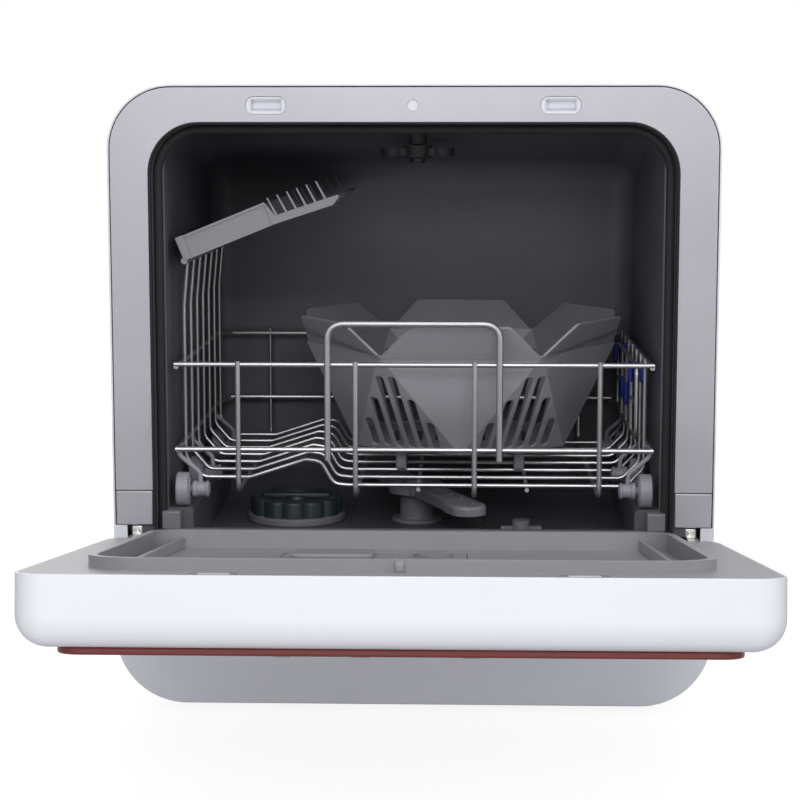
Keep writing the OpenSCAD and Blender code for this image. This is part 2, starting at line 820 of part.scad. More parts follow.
module control_board() {
  color("darkgreen") on_door() {
    box([-80, shell_back_y + shell_t + fit, strip_z - 36], [80, shell_back_y + shell_t + 2, strip_z + 14]);
    box([-50, shell_back_y + shell_t + 1.9, strip_z - 26], [-20, shell_back_y + shell_t + 12, strip_z]);
    box([10, shell_back_y + shell_t + 1.9, strip_z - 26], [60, shell_back_y + shell_t + 8, strip_z - 6]);
  }
}

module detergent_cup() {
  color("lightgray") on_door() translate([cup_x, 0, cup_z]) difference() {
    slab(-31, pan_floor_y - 0.2) round_rect(cup_w - 0.6, -cup_h / 2 + 0.3, cup_h / 2 - 0.3, 7.7);
    slab(-28, 0) translate([-26, 0]) round_rect(46, -18, 26, 6);
    rod_y(-28, 0, 38, 0, rinse_r + running);
  }
}

rinse_r = 13;

module dispenser_lid() {
  color("gainsboro") on_door() translate([cup_x - 26, 0, cup_z])
    slab(pan_floor_y + 0.1, pan_floor_y + 3) round_rect(52, -22, 30, 6);
}

module rinse_aid_cap() {
  color("gray") on_door() translate([cup_x + 38, 0, cup_z]) {
    rod_y(-20, pan_floor_y + 1.4, 0, 0, rinse_r);
    box([-9, pan_floor_y + 1, -1.5], [9, pan_floor_y + 4, 1.5]);
  }
}

// --- Rack ---

module rack_front() {
  color("lightgray") placed() {
    slab(rack_front_y - wire / 2, rack_front_y + wire / 2) {
      for (z = [rail_top_z, rail_low_z])
        translate([-rack_w / 2, z - wire / 2]) square([rack_w, wire]);
      for (x = upright_x)
        translate([x - wire / 2, floor_wire_z - wire / 2]) square([wire, rail_top_z - floor_wire_z]);
    }
    slab(rack_front_y - wire / 2 - handle_wire, rack_front_y - wire / 2) {
      difference() {
        round_rect(125, rail_low_z - 20, handle_z, 11);
        round_rect(125 - 2 * handle_wire, rail_low_z - 30, handle_z - handle_wire, 11 - handle_wire);
        translate([-100, rail_low_z - 40]) square([200, 36]);
      }
    }
  }
}

module rack_rear() {
  color("lightgray") placed() slab(rack_rear_y - wire / 2, rack_rear_y + wire / 2) {
    for (z = [rail_top_z, rail_low_z + 6])
      translate([-rack_w / 2, z - wire / 2]) square([rack_w, wire]);
    for (x = upright_x)
      translate([x - wire / 2, floor_wire_z - wire / 2]) square([wire, rail_top_z - floor_wire_z]);
  }
}

// The two side rails, between the front and the rear wires.
module rails() {
  for (z = [rail_top_z, rail_low_z])
    box([rack_x - wire / 2, rack_front_y + wire / 2, z - wire / 2],
        [rack_x + wire / 2, rack_rear_y - wire / 2, z + wire / 2]);
}

tall_y = [for (k = [0:tall_wires - 1]) tall_y0 + k * tall_pitch];
side_in = rack_x - wire;                     // middle of the wires inside the rails
floor_end = side_in - 12;                    // where the floor wires turn up

module rack_left() {
  color("lightgray") placed() {
    mirror([1, 0, 0]) rails();
    for (y = tall_y) slab(y - wire / 2, y + wire / 2)
      stroke([[-floor_end, floor_wire_z + 5], [-floor_end - 3, floor_wire_z + 5], [-side_in, 172],
              [-side_in, 283], [tray_x, tray_z - barrel_r - fit]], wire);
  }
}

module rack_right() {
  color("lightgray") placed() {
    rails();
    for (y = tall_y) slab(y - wire / 2, y + wire / 2)
      stroke([[floor_end, floor_wire_z], [floor_end + 3, floor_wire_z], [side_in, 168],
              [side_in, rail_top_z + wire / 2]], wire);
  }
}

module rack_floor() {
  color("lightgray") placed() {
    for (y = tall_y) slab(y - wire / 2, y + wire / 2)
      stroke([[-floor_end, floor_wire_z + 5], [-118, floor_wire_z + 5], [-76, 172], [-66, 170],
              [-57, floor_wire_z + 2], [-50, floor_wire_z], [floor_end, floor_wire_z]], wire);
    for (x = [-42, 42, 130]) lengthwise(x, floor_wire_z - wire * 0.8, rack_front_y, rack_rear_y);
    lengthwise(-126, floor_wire_z + 5 - wire * 0.8, rack_front_y, rack_rear_y);
    for (x = [3, 81])
      lengthwise(x, floor_wire_z - wire * 0.8, tall_y[0] - wire, tall_y[tall_wires - 1] + wire);
  }
}

// A wire along Y between the middles of two cross wires.
module lengthwise(x, z, y0, y1) {
  box([x - wire / 2, y0 + wire / 2, z], [x + wire / 2, y1 - wire / 2, z + wire * 0.9]);
}

shelf_x = side_in - wire - 2;

module plate_shelf() {
  color("lightgray") placed() side_slab(shelf_x - wire / 2, shelf_x + wire / 2) {
    for (z = [187, 212, rail_top_z - 6]) translate([54, z - wire / 2]) square([170, wire]);
    for (y = [54, 96, 138, 180, 221]) translate([y, 187]) square([wire, rail_top_z - 193]);
  }
}

// The clips, each as its wire's number, lower end and upper end.
clips = [[1, 226, 240], [2, 205, 221], [3, 205, 221], [5, 226, 240]];

module shelf_clips() {
  color("mediumblue") placed() for (c = clips) {
    y = tall_y[c[0]];
    box([shelf_x - wire / 2 - 3, y - 7, c[1]], [shelf_x - wire / 2, y + 5, c[2]]);
    difference() {
      box([shelf_x + wire / 2, y - 6, c[1]], [rack_x + 0.5, y + 6, c[2]]);
      box([side_in - wire / 2 - 0.1, y - wire / 2 - 0.1, 0], [half_w, y + wire / 2 + 0.1, cabinet_h]);
    }
  }
}

// A hub with its axle, on the right.
module hub(y) {
  rod_x(wheel_x - 13.5, wheel_x - 1, y, axle_z, 5.8);
  rod_x(wheel_x - 1.5, wheel_x + wheel_w + 1.4, y, axle_z, axle_r);
}

module wheel_hubs() {
  color("lightsteelblue") placed() both_sides() {
    for (y = [front_axle_y, middle_axle_y, rear_axle_y]) {
      hub(y);
      box([wheel_x - 11, y - 1.5, axle_z + 4], [wheel_x - 8, y + 1.5, rail_low_z - 5]);
      box([wheel_x - 11, y - 1.5, rail_low_z - 8], [rack_x - wire / 2, y + 1.5, rail_low_z - 5]);
      box([side_in + wire / 2, y - 1.5, rail_low_z - 8], [rack_x + wire / 2, y + 1.5, rail_low_z - wire / 2]);
    }
  }
}

// A pair of wheels on one line.
module wheels(y) {
  color("gainsboro") placed() both_sides() difference() {
    rod_x(wheel_x, wheel_x + wheel_w, y, axle_z, wheel_r);
    rod_x(wheel_x - 1, wheel_x + wheel_w + 1, y, axle_z, axle_r + running);
  }
}

module front_wheels() { wheels(front_axle_y); }
module middle_wheels() { wheels(middle_axle_y); }
module rear_wheels() { wheels(rear_axle_y); }

// The bowl's form, with its hexagonal bottom turned by half a side against its rim.
module bowl(t, z0, z1) {
  hull() {
    translate([0, 0, z0]) rotate(30) cylinder(h = 0.1, r = bowl_bottom_r - t, $fn = 6);
    translate([0, 0, z1 - 0.1]) cylinder(h = 0.1, r = bowl_top_r - t, $fn = 6);
  }
}

module fruit_basket() {
  apothem = bowl_top_r * cos(30);
  rim_z = bowl_z + bowl_h;
  foot = bowl_bottom_r * cos(30);              // from the middle to a side of the bottom
  lean = atan((bowl_top_r - foot) / bowl_h);   // of the triangular panels that stand on the bottom
  pitch = bowl_bottom_r / 8.5;
  color("gray") placed() translate([bowl_x, bowl_y, 0]) {
    difference() {
      bowl(0, bowl_z, rim_z);
      bowl(bowl_t * 1.2, bowl_z + bowl_t, rim_z + 1);
      for (x = [-48:16:48]) box([x - 3, -30, bowl_z - 1], [x + 3, 30, bowl_z + bowl_t + 1]);
      // the slots of the panels, shorter towards each panel's sides
      for (a = [0:60:300]) rotate(a) translate([foot, 0, bowl_z]) rotate([0, lean, 0])
        for (k = [-2.5:1:2.5])
          box([-4, (k - 0.28) * pitch, 4], [4, (k + 0.28) * pitch, 76 - abs(k) * pitch * 1.86]);
    }
    for (a = [0:60:300]) rotate(a) translate([0, -apothem + 1, rim_z - 1]) rotate([90 + petal_lean, 0, 0])
      linear_extrude(bowl_t)
        polygon([[-bowl_top_r / 2 + 3, 0], [bowl_top_r / 2 - 3, 0], [36, petal_l], [-36, petal_l]]);
    for (x = [-44, 44], y = [-34, 34])
      box([x - 4, y - 6, floor_wire_z + wire / 2], [x + 4, y + 6, bowl_z + 1]);
  }
}

// The tray's section: a steep part at the wall and a flatter part inwards.
// It is drawn in by t, and its walls have the height h.
module tray_section(t, h) {
  knee = tray_w * 0.6;
  rise = (tray_w - knee) * -sin(bend);
  polygon([[t, t], [knee, t], [tray_w - t, t + rise], [tray_w - t, h * 0.55 + rise], [knee, h], [t, h]]);
}

bend = 9;
barrel_r = 2.4;                              // of the tray's edge, about which it turns

module cup_tray() {
  slots = 12;
  pitch = (tray_l - 12) / slots;
  color("gray") placed() translate([tray_x, rack_front_y + 4, tray_z]) rotate([0, -tray_tilt, 0]) {
    difference() {
      union() {
        slab(0, tray_l) tray_section(0, tray_wall);
        rod_y(0, tray_l, 0, 0, barrel_r);
      }
      slab(2.4, tray_l - 2.4) tray_section(2.4, tray_wall + 5);
      for (k = [0:slots - 1]) box([22, 9 + k * pitch, -20], [tray_w - 10, 16 + k * pitch, 5]);
    }
  }
}

casing();
base_tray();
lower_front_panel();
front_frame();
hinge_covers();
rear_panel();
feet();
tub();
door_seal();
rail_stops();
ceiling_nozzle();
ceiling_spray_rotor();
sump();
filter_plate();
filter_cup();
spray_pedestal();
lower_spray_arm();
water_softener();
salt_cap();
wash_pump();
heater();
drain_pump();
inlet_valve();
drain_outlet();
riser_pipe();
water_distributor();
hinge_brackets();
door_springs();
door_cables();
latch_keepers();
door_switch_plunger();
door_shell();
door_panel();
door_liner();
door_hinge_plates();
hinge_pins();
latch_bar();
control_strip();
power_button();
program_button();
start_button();
control_board();
detergent_cup();
dispenser_lid();
rinse_aid_cap();
rack_front();
rack_rear();
rack_left();
rack_right();
rack_floor();
plate_shelf();
shelf_clips();
wheel_hubs();
front_wheels();
middle_wheels();
rear_wheels();
fruit_basket();
cup_tray();
cord_gland();
rear_screws();
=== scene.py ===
"""Looks of a small countertop dishwasher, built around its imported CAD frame.

It is laid out as an add-on: the sizes and colours are properties, each piece has its own
operator, and the panel in the 3D view's sidebar lists them in the order they are made.
"""

import json
from math import atan2, cos, pi, radians, sin, tan, tau

import bmesh
import bpy
from bpy.props import BoolProperty, FloatProperty, FloatVectorProperty, IntProperty, PointerProperty
from mathutils import Matrix, Vector


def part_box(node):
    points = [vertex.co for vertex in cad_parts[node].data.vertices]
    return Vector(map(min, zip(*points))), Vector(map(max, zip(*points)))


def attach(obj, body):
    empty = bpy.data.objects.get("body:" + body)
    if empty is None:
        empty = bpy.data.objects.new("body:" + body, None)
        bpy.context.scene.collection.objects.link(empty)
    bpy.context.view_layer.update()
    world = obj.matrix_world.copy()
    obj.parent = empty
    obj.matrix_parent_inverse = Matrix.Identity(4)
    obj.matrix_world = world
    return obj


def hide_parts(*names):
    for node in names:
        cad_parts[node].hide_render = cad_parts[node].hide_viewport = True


bl_info = {
    "name": "Countertop Dishwasher",
    "version": (1, 0, 0),
    "blender": (4, 5, 0),
    "location": "View3D > Sidebar > Dishwasher",
    "description": "Builds the visible pieces of a small countertop dishwasher",
    "category": "Add Mesh",
}

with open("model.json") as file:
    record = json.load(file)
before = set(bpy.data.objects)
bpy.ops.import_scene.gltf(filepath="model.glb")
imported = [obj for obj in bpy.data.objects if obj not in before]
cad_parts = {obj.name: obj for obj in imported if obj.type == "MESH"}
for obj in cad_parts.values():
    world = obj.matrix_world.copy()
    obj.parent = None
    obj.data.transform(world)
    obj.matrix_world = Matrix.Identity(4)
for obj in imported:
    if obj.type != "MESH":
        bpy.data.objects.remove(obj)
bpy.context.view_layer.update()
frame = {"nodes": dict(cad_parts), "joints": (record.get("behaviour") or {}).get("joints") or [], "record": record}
NODE_BODY = {node: body for body, nodes in frame["record"]["behaviour"]["bodies"].items() for node in nodes}
JOINTS = {joint["name"]: joint for joint in frame["joints"]}

FRONT_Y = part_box("front_frame")[0].y            # the front frame's face
HINGE = Vector(JOINTS["door_hinge"]["pos_m"])
DOOR_ANGLE = radians(JOINTS["door_hinge"]["range_deg"][1])

# Pieces are modelled in millimetres behind the front frame's face, and the door's with the door closed.
CABINET = Matrix.Translation((0, FRONT_Y, 0)) @ Matrix.Scale(0.001, 4)
DOOR = (Matrix.Translation(HINGE) @ Matrix.Rotation(DOOR_ANGLE, 4, "X") @ Matrix.Translation(-HINGE)) @ CABINET

# The tub's mouth: a straight sill, two sides and a top with rounded corners
MOUTH_HALF, MOUTH_SILL, MOUTH_TOP, MOUTH_RADIUS = 180, 128, 410.5, 33
# Middles of the pieces on the tub's floor and ceiling, across and in depth
FILTER, SALT_CAP, SPRAY_AXIS, NOZZLE = (78, 72), (-93, 142), (0, 137), (0, 150)
# Middles of the fittings at the rear, across and in height
INLET, DRAIN, GLAND = (150, 84), (92, 84), (-150, 84)
HINGE_SLOT = 195.5                              # distance of each hinge slot from the middle


# --- Properties ---

def colour_setting(name, default, description):
    """A colour property."""
    return FloatVectorProperty(name=name, description=description, default=default, subtype="COLOR", size=3,
                               min=0, max=1)


def length_setting(name, default, low, high, description):
    """A property for a small length, in metres."""
    return FloatProperty(name=name, description=description, default=default, min=low, max=high,
                         subtype="DISTANCE")


class DISHWASHER_PG_cabinet(bpy.types.PropertyGroup):
    enamel: colour_setting("Enamel", (0.73, 0.745, 0.80), "Colour of the outer casing and the door's shell")
    frame_silver: colour_setting("Front frame", (0.45, 0.444, 0.487), "Colour of the satin front frame")
    # The base's silver-grey is partly its own colour and partly painted light, lifted lighter against the shade under
    # the open door.
    base_grey_painted_light: colour_setting("Base", (0.72, 0.742, 0.812), "Colour of the base tray")
    tub_grey: colour_setting("Tub", (0.1, 0.0965, 0.114), "Colour of the tub")
    edge: length_setting("Edge", 0.0008, 0.0002, 0.003, "Radius that eases the edges of the outer pieces")


class DISHWASHER_PG_door(bpy.types.PropertyGroup):
    front_red: colour_setting("Front panel", (0.13, 0.014, 0.012), "Colour of the door's front panel")
    liner_grey: colour_setting("Liner", (0.315, 0.31, 0.338), "Colour of the door's inner liner")
    edge: length_setting("Edge", 0.0016, 0.0003, 0.003, "Radius that eases the edges of the liner")


class DISHWASHER_PG_rack(bpy.types.PropertyGroup):
    wire: length_setting("Wire", 0.0031, 0.002, 0.005, "Diameter of the cross wires")
    rail: length_setting("Rail", 0.0037, 0.002, 0.006, "Diameter of the rails and upright wires")
    handle: length_setting("Handle", 0.0048, 0.003, 0.008, "Diameter of the handle's wire")
    sides: IntProperty(name="Facets", description="Facets round a wire", default=3, min=1, max=8)


class DISHWASHER_PG_basket(bpy.types.PropertyGroup):
    wall: length_setting("Wall", 0.002, 0.001, 0.003, "Wall thickness of the fruit basket")
    slots: IntProperty(name="Slots", description="Slots in each slotted panel", default=6, min=3, max=8)
    grey: colour_setting("Colour", (0.29, 0.286, 0.315), "Colour of the basket and the cup tray")


class DISHWASHER_PG_stage(bpy.types.PropertyGroup):
    focal: FloatProperty(
        name="Focal length", description="Focal length of the camera, in mm", default=88.43, min=20)
    pitch: FloatProperty(
        name="Pitch", description="Downward tilt of the camera", subtype="ANGLE", default=radians(7.6))
    yaw: FloatProperty(
        name="Yaw", description="Turn of the camera to the left", subtype="ANGLE", default=radians(1.77))
    show_shadow: BoolProperty(name="Shadow", description="Let the floor catch the object's shadow", default=True)


# --- Materials ---

def node(tree, kind, **sockets):
    """A shader node of the kind, with its named input sockets set."""
    made = tree.nodes.new("ShaderNode" + kind)
    for name, value in sockets.items():
        made.inputs[name.replace("_", " ")].default_value = value
    return made


def cleared(owner, out):
    """The emptied node tree of a material or a world, and its new output's socket."""
    owner.use_nodes = True
    tree = owner.node_tree
    tree.nodes.clear()
    return tree, node(tree, out).inputs["Surface"]


def mixed(tree, out, factor, one, two):
    """Puts a mix of two shaders into the output."""
    mix = node(tree, "MixShader")
    tree.links.new(factor, mix.inputs["Fac"])
    tree.links.new(one.outputs[0], mix.inputs[1])
    tree.links.new(two.outputs[0], mix.inputs[2])
    tree.links.new(mix.outputs[0], out)


def clouded(tree, tone, spread, scale, stretch):
    """The tone with a soft variation over the object; returns its socket and the stretched coordinates."""
    place = node(tree, "TexCoord")
    turn = node(tree, "Mapping", Scale=stretch)
    noise = node(tree, "TexNoise", Scale=scale, Detail=3.0, Roughness=0.55)
    ramp = node(tree, "ValToRGB")
    ramp.color_ramp.elements[0].position = 0.3
    ramp.color_ramp.elements[1].position = 0.7
    ramp.color_ramp.elements[0].color = [c * (1 - spread) for c in tone] + [1]
    ramp.color_ramp.elements[1].color = [min(1, c * (1 + spread)) for c in tone] + [1]
    tree.links.new(place.outputs["Object"], turn.inputs["Vector"])
    tree.links.new(turn.outputs["Vector"], noise.inputs["Vector"])
    tree.links.new(noise.outputs["Fac"], ramp.inputs["Fac"])
    return ramp.outputs["Color"], turn.outputs["Vector"]


def grained(tree, shader, coords, scale, depth, rough, rough_spread):
    """Fine grain: a bump of the given depth, and a roughness that varies with it."""
    grain = node(tree, "TexNoise", Scale=scale, Detail=2.0, Roughness=0.6)
    bump = node(tree, "Bump", Strength=0.6, Distance=depth)
    level = node(tree, "MapRange")
    level.inputs["To Min"].default_value = rough - rough_spread
    level.inputs["To Max"].default_value = rough + rough_spread
    tree.links.new(coords, grain.inputs["Vector"])
    tree.links.new(grain.outputs["Fac"], bump.inputs["Height"])
    tree.links.new(grain.outputs["Fac"], level.inputs["Value"])
    tree.links.new(level.outputs["Result"], shader.inputs["Roughness"])
    tree.links.new(bump.outputs["Normal"], shader.inputs["Normal"])


def surfaced(name, tone, spread, scale, grain, depth, rough, rough_spread, stretch=(1, 1, 1), **others):
    """A material of a clouded tone with fine grain, and with the other inputs of its shader set."""
    finish = bpy.data.materials.new(name)
    tree, out = cleared(finish, "OutputMaterial")
    shader = node(tree, "BsdfPrincipled", **others)
    tree.links.new(shader.outputs["BSDF"], out)
    cloud, coords = clouded(tree, tone, spread, scale, stretch)
    tree.links.new(cloud, shader.inputs["Base Color"])
    grained(tree, shader, coords, grain, depth, rough, rough_spread)
    return finish


def moulded(name, tone, rough=0.45, spread=0.05, grain=900.0, depth=0.00004):
    """Moulded plastic with a fine spark-eroded grain."""
    return surfaced(name, tone, spread, 14.0, grain, depth, rough, 0.06, IOR=1.47)


def enamelled(name, tone, rough=0.24, coat=0.3):
    """Painted sheet with the faint waviness of sprayed enamel."""
    return surfaced(name, tone, 0.012, 6.0, 260.0, 0.00002, rough, 0.03, Coat_Weight=coat, Coat_Roughness=0.12)


def satin_metal(name, tone, rough, metallic, stretch=(1, 1, 1), grain=500.0):
    """Satin silver finish or plain metal, which the stretch can give streaks."""
    return surfaced(name, tone, 0.05, 9.0, grain, 0.000015, rough, 0.07, stretch, Metallic=metallic)


def rubbery(name, tone):
    """Dull rubber with a powdery bloom."""
    return surfaced(name, tone, 0.2, 60.0, 1400.0, 0.00006, 0.72, 0.08)


FINISHES = {}


def finishes():
    """All finishes of the object, made once."""
    if FINISHES:
        return FINISHES
    cabinet = bpy.context.scene.dishwasher_cabinet
    door = bpy.context.scene.dishwasher_door
    basket = bpy.context.scene.dishwasher_basket
    FINISHES.update({
        "enamel": enamelled("white_enamel", cabinet.enamel),
        "gloss_white": enamelled("white_moulding", cabinet.enamel, rough=0.3, coat=0.15),
        "frame": satin_metal("satin_silver_frame", cabinet.frame_silver, rough=0.38, metallic=0.62),
        # The base's tone is partly its own silver-grey and partly painted light that lifts it out of the open door's
        # shade.
        "base": moulded("silver_grey_base_painted_light", cabinet.base_grey_painted_light, rough=0.42, spread=0.02),
        "tub": moulded("dark_grey_tub", cabinet.tub_grey, rough=0.5, spread=0.07, grain=420.0),
        "liner": moulded("light_grey_liner", door.liner_grey, rough=0.4, spread=0.03),
        "red": enamelled("brick_red_panel", door.front_red, rough=0.2, coat=0.5),
        "rubber": rubbery("black_rubber", (0.009, 0.009, 0.0105)),
        "wire": satin_metal("satin_steel_wire", (0.43, 0.43, 0.445), rough=0.36, metallic=0.9, grain=1200.0),
        "lilac": moulded("light_grey_wheel", (0.33, 0.325, 0.38), rough=0.42),
        "basket": moulded("grey_basket", basket.grey, rough=0.48, grain=1500.0, depth=0.00005),
        # The cup tray's colour is the basket's grey darkened by a fifth, which is painted shade.
        "tray": moulded("grey_cup_tray_painted_shade", [c * 0.8 for c in basket.grey], rough=0.42, grain=1500.0),
        "blue": moulded("dark_blue_clip", (0.012, 0.02, 0.22), rough=0.35),
        "salt": moulded("dark_green_cap", (0.030, 0.045, 0.046), rough=0.4),
        "arm": moulded("grey_spray_arm", (0.21, 0.21, 0.235), rough=0.36),
        "dark": moulded("dark_moulding", (0.028, 0.028, 0.032), rough=0.45),
        "motor": moulded("dark_pump_housing", (0.055, 0.057, 0.064), rough=0.5),
        "steel": satin_metal("plain_steel", (0.55, 0.55, 0.56), rough=0.32, metallic=1.0, stretch=(1, 8, 1)),
        "zinc": satin_metal("bright_zinc", (0.78, 0.77, 0.75), rough=0.3, metallic=0.7),
        "natural": moulded("natural_plastic", (0.68, 0.70, 0.72), rough=0.45, spread=0.04),
        "board": moulded("circuit_board", (0.01, 0.09, 0.03), rough=0.3, spread=0.25, grain=300.0),
        "strip": enamelled("pale_strip", (0.72, 0.70, 0.72), rough=0.25),
        "button": moulded("grey_button", (0.30, 0.30, 0.33), rough=0.3),
    })
    return FINISHES


# --- Making pieces ---

def meshed(bm, name):
    """A mesh of the bmesh, which is freed."""
    mesh = bpy.data.meshes.new(name)
    bm.to_mesh(mesh)
    bm.free()
    return mesh


def linked(name, data):
    """A new object of the scene."""
    obj = bpy.data.objects.new(name, data)
    bpy.context.scene.collection.objects.link(obj)
    return obj


def piece(name, bm, finish, body, place=CABINET, angle=35, replaces=()):
    """A visible piece, smooth up to the angle, that rides on a body and stands for the named CAD nodes."""
    bmesh.ops.transform(bm, matrix=place, verts=bm.verts)
    mesh = meshed(bm, name)
    mesh.shade_smooth()
    mesh.set_sharp_from_angle(angle=radians(angle))
    mesh.materials.append(finishes()[finish])
    obj = linked(name, mesh)
    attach(obj, body)
    if replaces:
        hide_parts(*replaces)
    return obj


def ease(obj, width, segments=3, angle=32):
    """Rounds the edges that are sharper than the angle, and keeps the faces between them evenly shaded."""
    bevel = obj.modifiers.new("eased edges", "BEVEL")
    bevel.width = width
    bevel.segments = segments
    bevel.limit_method = "ANGLE"
    bevel.angle_limit = radians(angle)
    bevel.use_clamp_overlap = True
    normals = obj.modifiers.new("even shading", "WEIGHTED_NORMAL")
    normals.keep_sharp = True
    normals.weight = 100
    return obj


def eased_node(name, finish, width, segments=2):
    """A CAD node's own shape, with its triangles merged and its edges eased."""
    bm = bmesh.new()
    bm.from_mesh(frame["nodes"][name].data)
    bmesh.ops.remove_doubles(bm, verts=bm.verts, dist=1e-6)
    bmesh.ops.dissolve_limit(bm, angle_limit=radians(0.4), verts=bm.verts, edges=bm.edges)
    obj = piece(name + "_form", bm, finish, NODE_BODY[name], place=Matrix.Identity(4), replaces=(name,))
    return ease(obj, width, segments)


def extent(name):
    """Both corners of a CAD node's box, in millimetres behind the front frame's face."""
    return [(corner - Vector((0, FRONT_Y, 0))) * 1000 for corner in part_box(name)]


def paint(finish, *names):
    """Gives CAD nodes whose shape is right a finish."""
    for name in names:
        obj = frame["nodes"][name]
        obj.data.materials.clear()
        obj.data.materials.append(finishes()[finish])


def rounded(bm, edges, radius, segments, clamp=True):
    """Rounds the edges of a bmesh."""
    bmesh.ops.bevel(bm, geom=edges, offset=radius, offset_type="OFFSET", segments=segments, profile=0.5,
                    affect="EDGES", material=-1, clamp_overlap=clamp)


def block(bm, low, high, radius=0.0, segments=3, edges=None):
    """A box between two corners, with all its edges, or those that the test picks, rounded."""
    low, high = Vector(low), Vector(high)
    made = bmesh.ops.create_cube(bm, size=1.0)["verts"]
    bmesh.ops.scale(bm, vec=high - low, verts=made)
    bmesh.ops.translate(bm, vec=(high + low) / 2, verts=made)
    if radius:
        rounded(bm, list({e for v in made for e in v.link_edges if edges is None or edges(e)}), radius, segments)
    return bm


def along(axis):
    """A test for edges that run along an axis, given by its number."""
    def test(edge):
        run = edge.verts[1].co - edge.verts[0].co
        return abs(run.normalized()[axis]) > 0.99
    return test


def join(bm, other, move=None):
    """Adds the other bmesh's geometry, moved by the matrix, and frees it."""
    if move:
        bmesh.ops.transform(other, matrix=move, verts=other.verts)
    mesh = meshed(other, "joined")
    bm.from_mesh(mesh)
    bpy.data.meshes.remove(mesh)
    return bm


def prism(bm, outline, low, high, axis="Y"):
    """A prism: its outline lies in the other two axes, and it runs along the axis from low to high."""
    place = {"X": lambda a, b, t: (t, a, b), "Y": lambda a, b, t: (a, t, b), "Z": lambda a, b, t: (a, b, t)}[axis]
    ring = [bm.verts.new(place(a, b, low)) for a, b in outline]
    swept = bmesh.ops.extrude_face_region(bm, geom=[bm.faces.new(ring)])["geom"]
    far = [g for g in swept if isinstance(g, bmesh.types.BMVert)]
    bmesh.ops.translate(bm, vec=Vector(place(0, 0, high - low)), verts=far)
    bmesh.ops.recalc_face_normals(bm, faces=bm.faces)
    return bm


def arch(bm, profile, half, low, top, radius):
    """Sweeps a closed profile of (distance inwards, y) along an arch that is open at its foot."""
    steps = 12
    path = [(-half, low, 1, 0)]
    for side, first in ((-1, 180), (1, 90)):
        for k in range(steps + 1):
            turn = radians(first - 90 * k / steps)
            x, z = cos(turn), sin(turn)
            path.append((side * (half - radius) + radius * x, top - radius + radius * z, -x, -z))
    path.append((half, low, -1, 0))
    rings = [[bm.verts.new((x + inward_x * d, y, z + inward_z * d)) for d, y in profile]
             for x, z, inward_x, inward_z in path]
    for one, two in zip(rings, rings[1:]):
        for k in range(len(profile)):
            bm.faces.new((one[k - 1], one[k], two[k], two[k - 1]))
    bm.faces.new(rings[0])
    bm.faces.new(rings[-1][::-1])
    bmesh.ops.recalc_face_normals(bm, faces=bm.faces)
    return bm


def disc(bm, centre, axis, radius, length, rim=0.0, sides=48):
    """A cylinder that starts at centre and runs along the axis, with rounded ends."""
    turn = {"X": Matrix.Rotation(radians(90), 4, "Y"), "Y": Matrix.Rotation(radians(-90), 4, "X"),
            "Z": Matrix.Identity(4)}[axis]
    place = Matrix.Translation(centre) @ turn @ Matrix.Translation((0, 0, length / 2))
    made = bmesh.ops.create_cone(bm, cap_ends=True, segments=sides, radius1=radius, radius2=radius,
                                 depth=length, matrix=place)["verts"]
    if rim:
        ends = list({e for v in made for e in v.link_edges if any(len(f.verts) > 4 for f in e.link_faces)})
        rounded(bm, ends, rim, 3)
    return bm


def lathe(bm, profile, centre, axis, steps=48):
    """A shape of revolution: the profile's points are (distance along the axis, radius)."""
    direction = {"X": Vector((1, 0, 0)), "Y": Vector((0, 1, 0)), "Z": Vector((0, 0, 1))}[axis]
    side = Vector((0, 0, 1)) if axis != "Z" else Vector((1, 0, 0))
    centre = Vector(centre)
    points = [bm.verts.new(centre + direction * a + side * r) for a, r in profile]
    edges = [bm.edges.new(pair) for pair in zip(points, points[1:])]
    bmesh.ops.spin(bm, geom=points + edges, cent=centre, axis=direction, angle=tau, steps=steps, use_merge=True)
    bmesh.ops.remove_doubles(bm, verts=bm.verts, dist=1e-4)
    bmesh.ops.recalc_face_normals(bm, faces=bm.faces)
    return bm


def filleted(points, radius, steps=5):
    """The points of a line whose corners are rounded."""
    points = [Vector(p) for p in points]
    path = [points[0]]
    for before, corner, after in zip(points, points[1:], points[2:]):
        a, b = before - corner, after - corner
        half = a.angle(b) / 2
        cut = min(radius / tan(half), a.length * 0.49, b.length * 0.49)
        start, end = corner + a.normalized() * cut, corner + b.normalized() * cut
        for k in range(steps + 1):
            t = k / steps
            path.append(start * (1 - t) ** 2 + corner * 2 * t * (1 - t) + end * t ** 2)
    path.append(points[-1])
    return path


def wires(bm, paths, diameter, facets):
    """Round wires along the paths, in millimetres."""
    curve = bpy.data.curves.new("wire_paths", "CURVE")
    curve.dimensions = "3D"
    curve.bevel_depth = diameter * 500
    curve.bevel_resolution = facets
    curve.use_fill_caps = True
    for path in paths:
        spline = curve.splines.new("POLY")
        spline.points.add(len(path) - 1)
        for point, co in zip(spline.points, path):
            point.co = (*co, 1)
    obj = linked("wire_paths", curve)
    mesh = bpy.data.meshes.new_from_object(obj.evaluated_get(bpy.context.evaluated_depsgraph_get()))
    bm.from_mesh(mesh)
    bpy.data.objects.remove(obj)
    bpy.data.curves.remove(curve)
    bpy.data.meshes.remove(mesh)
    return bm


def carved(bm, *cuts, add=None):
    """The bmesh with one shape added, if given, and the others then cut away."""
    blank = linked("blank", meshed(bm, "blank"))
    steps = [("DIFFERENCE", tool) for tool in cuts]
    if add is not None:
        steps.insert(0, ("UNION", add))
    tools = []
    for operation, tool in steps:
        tools.append(linked("tool", meshed(tool, "tool")))
        cut = blank.modifiers.new("cut", "BOOLEAN")
        cut.operation = operation
        cut.solver = "EXACT"
        cut.object = tools[-1]
    mesh = bpy.data.meshes.new_from_object(blank.evaluated_get(bpy.context.evaluated_depsgraph_get()))
    result = bmesh.new()
    result.from_mesh(mesh)
    for obj in [blank] + tools:
        spent = obj.data
        bpy.data.objects.remove(obj)
        bpy.data.meshes.remove(spent)
    bpy.data.meshes.remove(mesh)
    return result


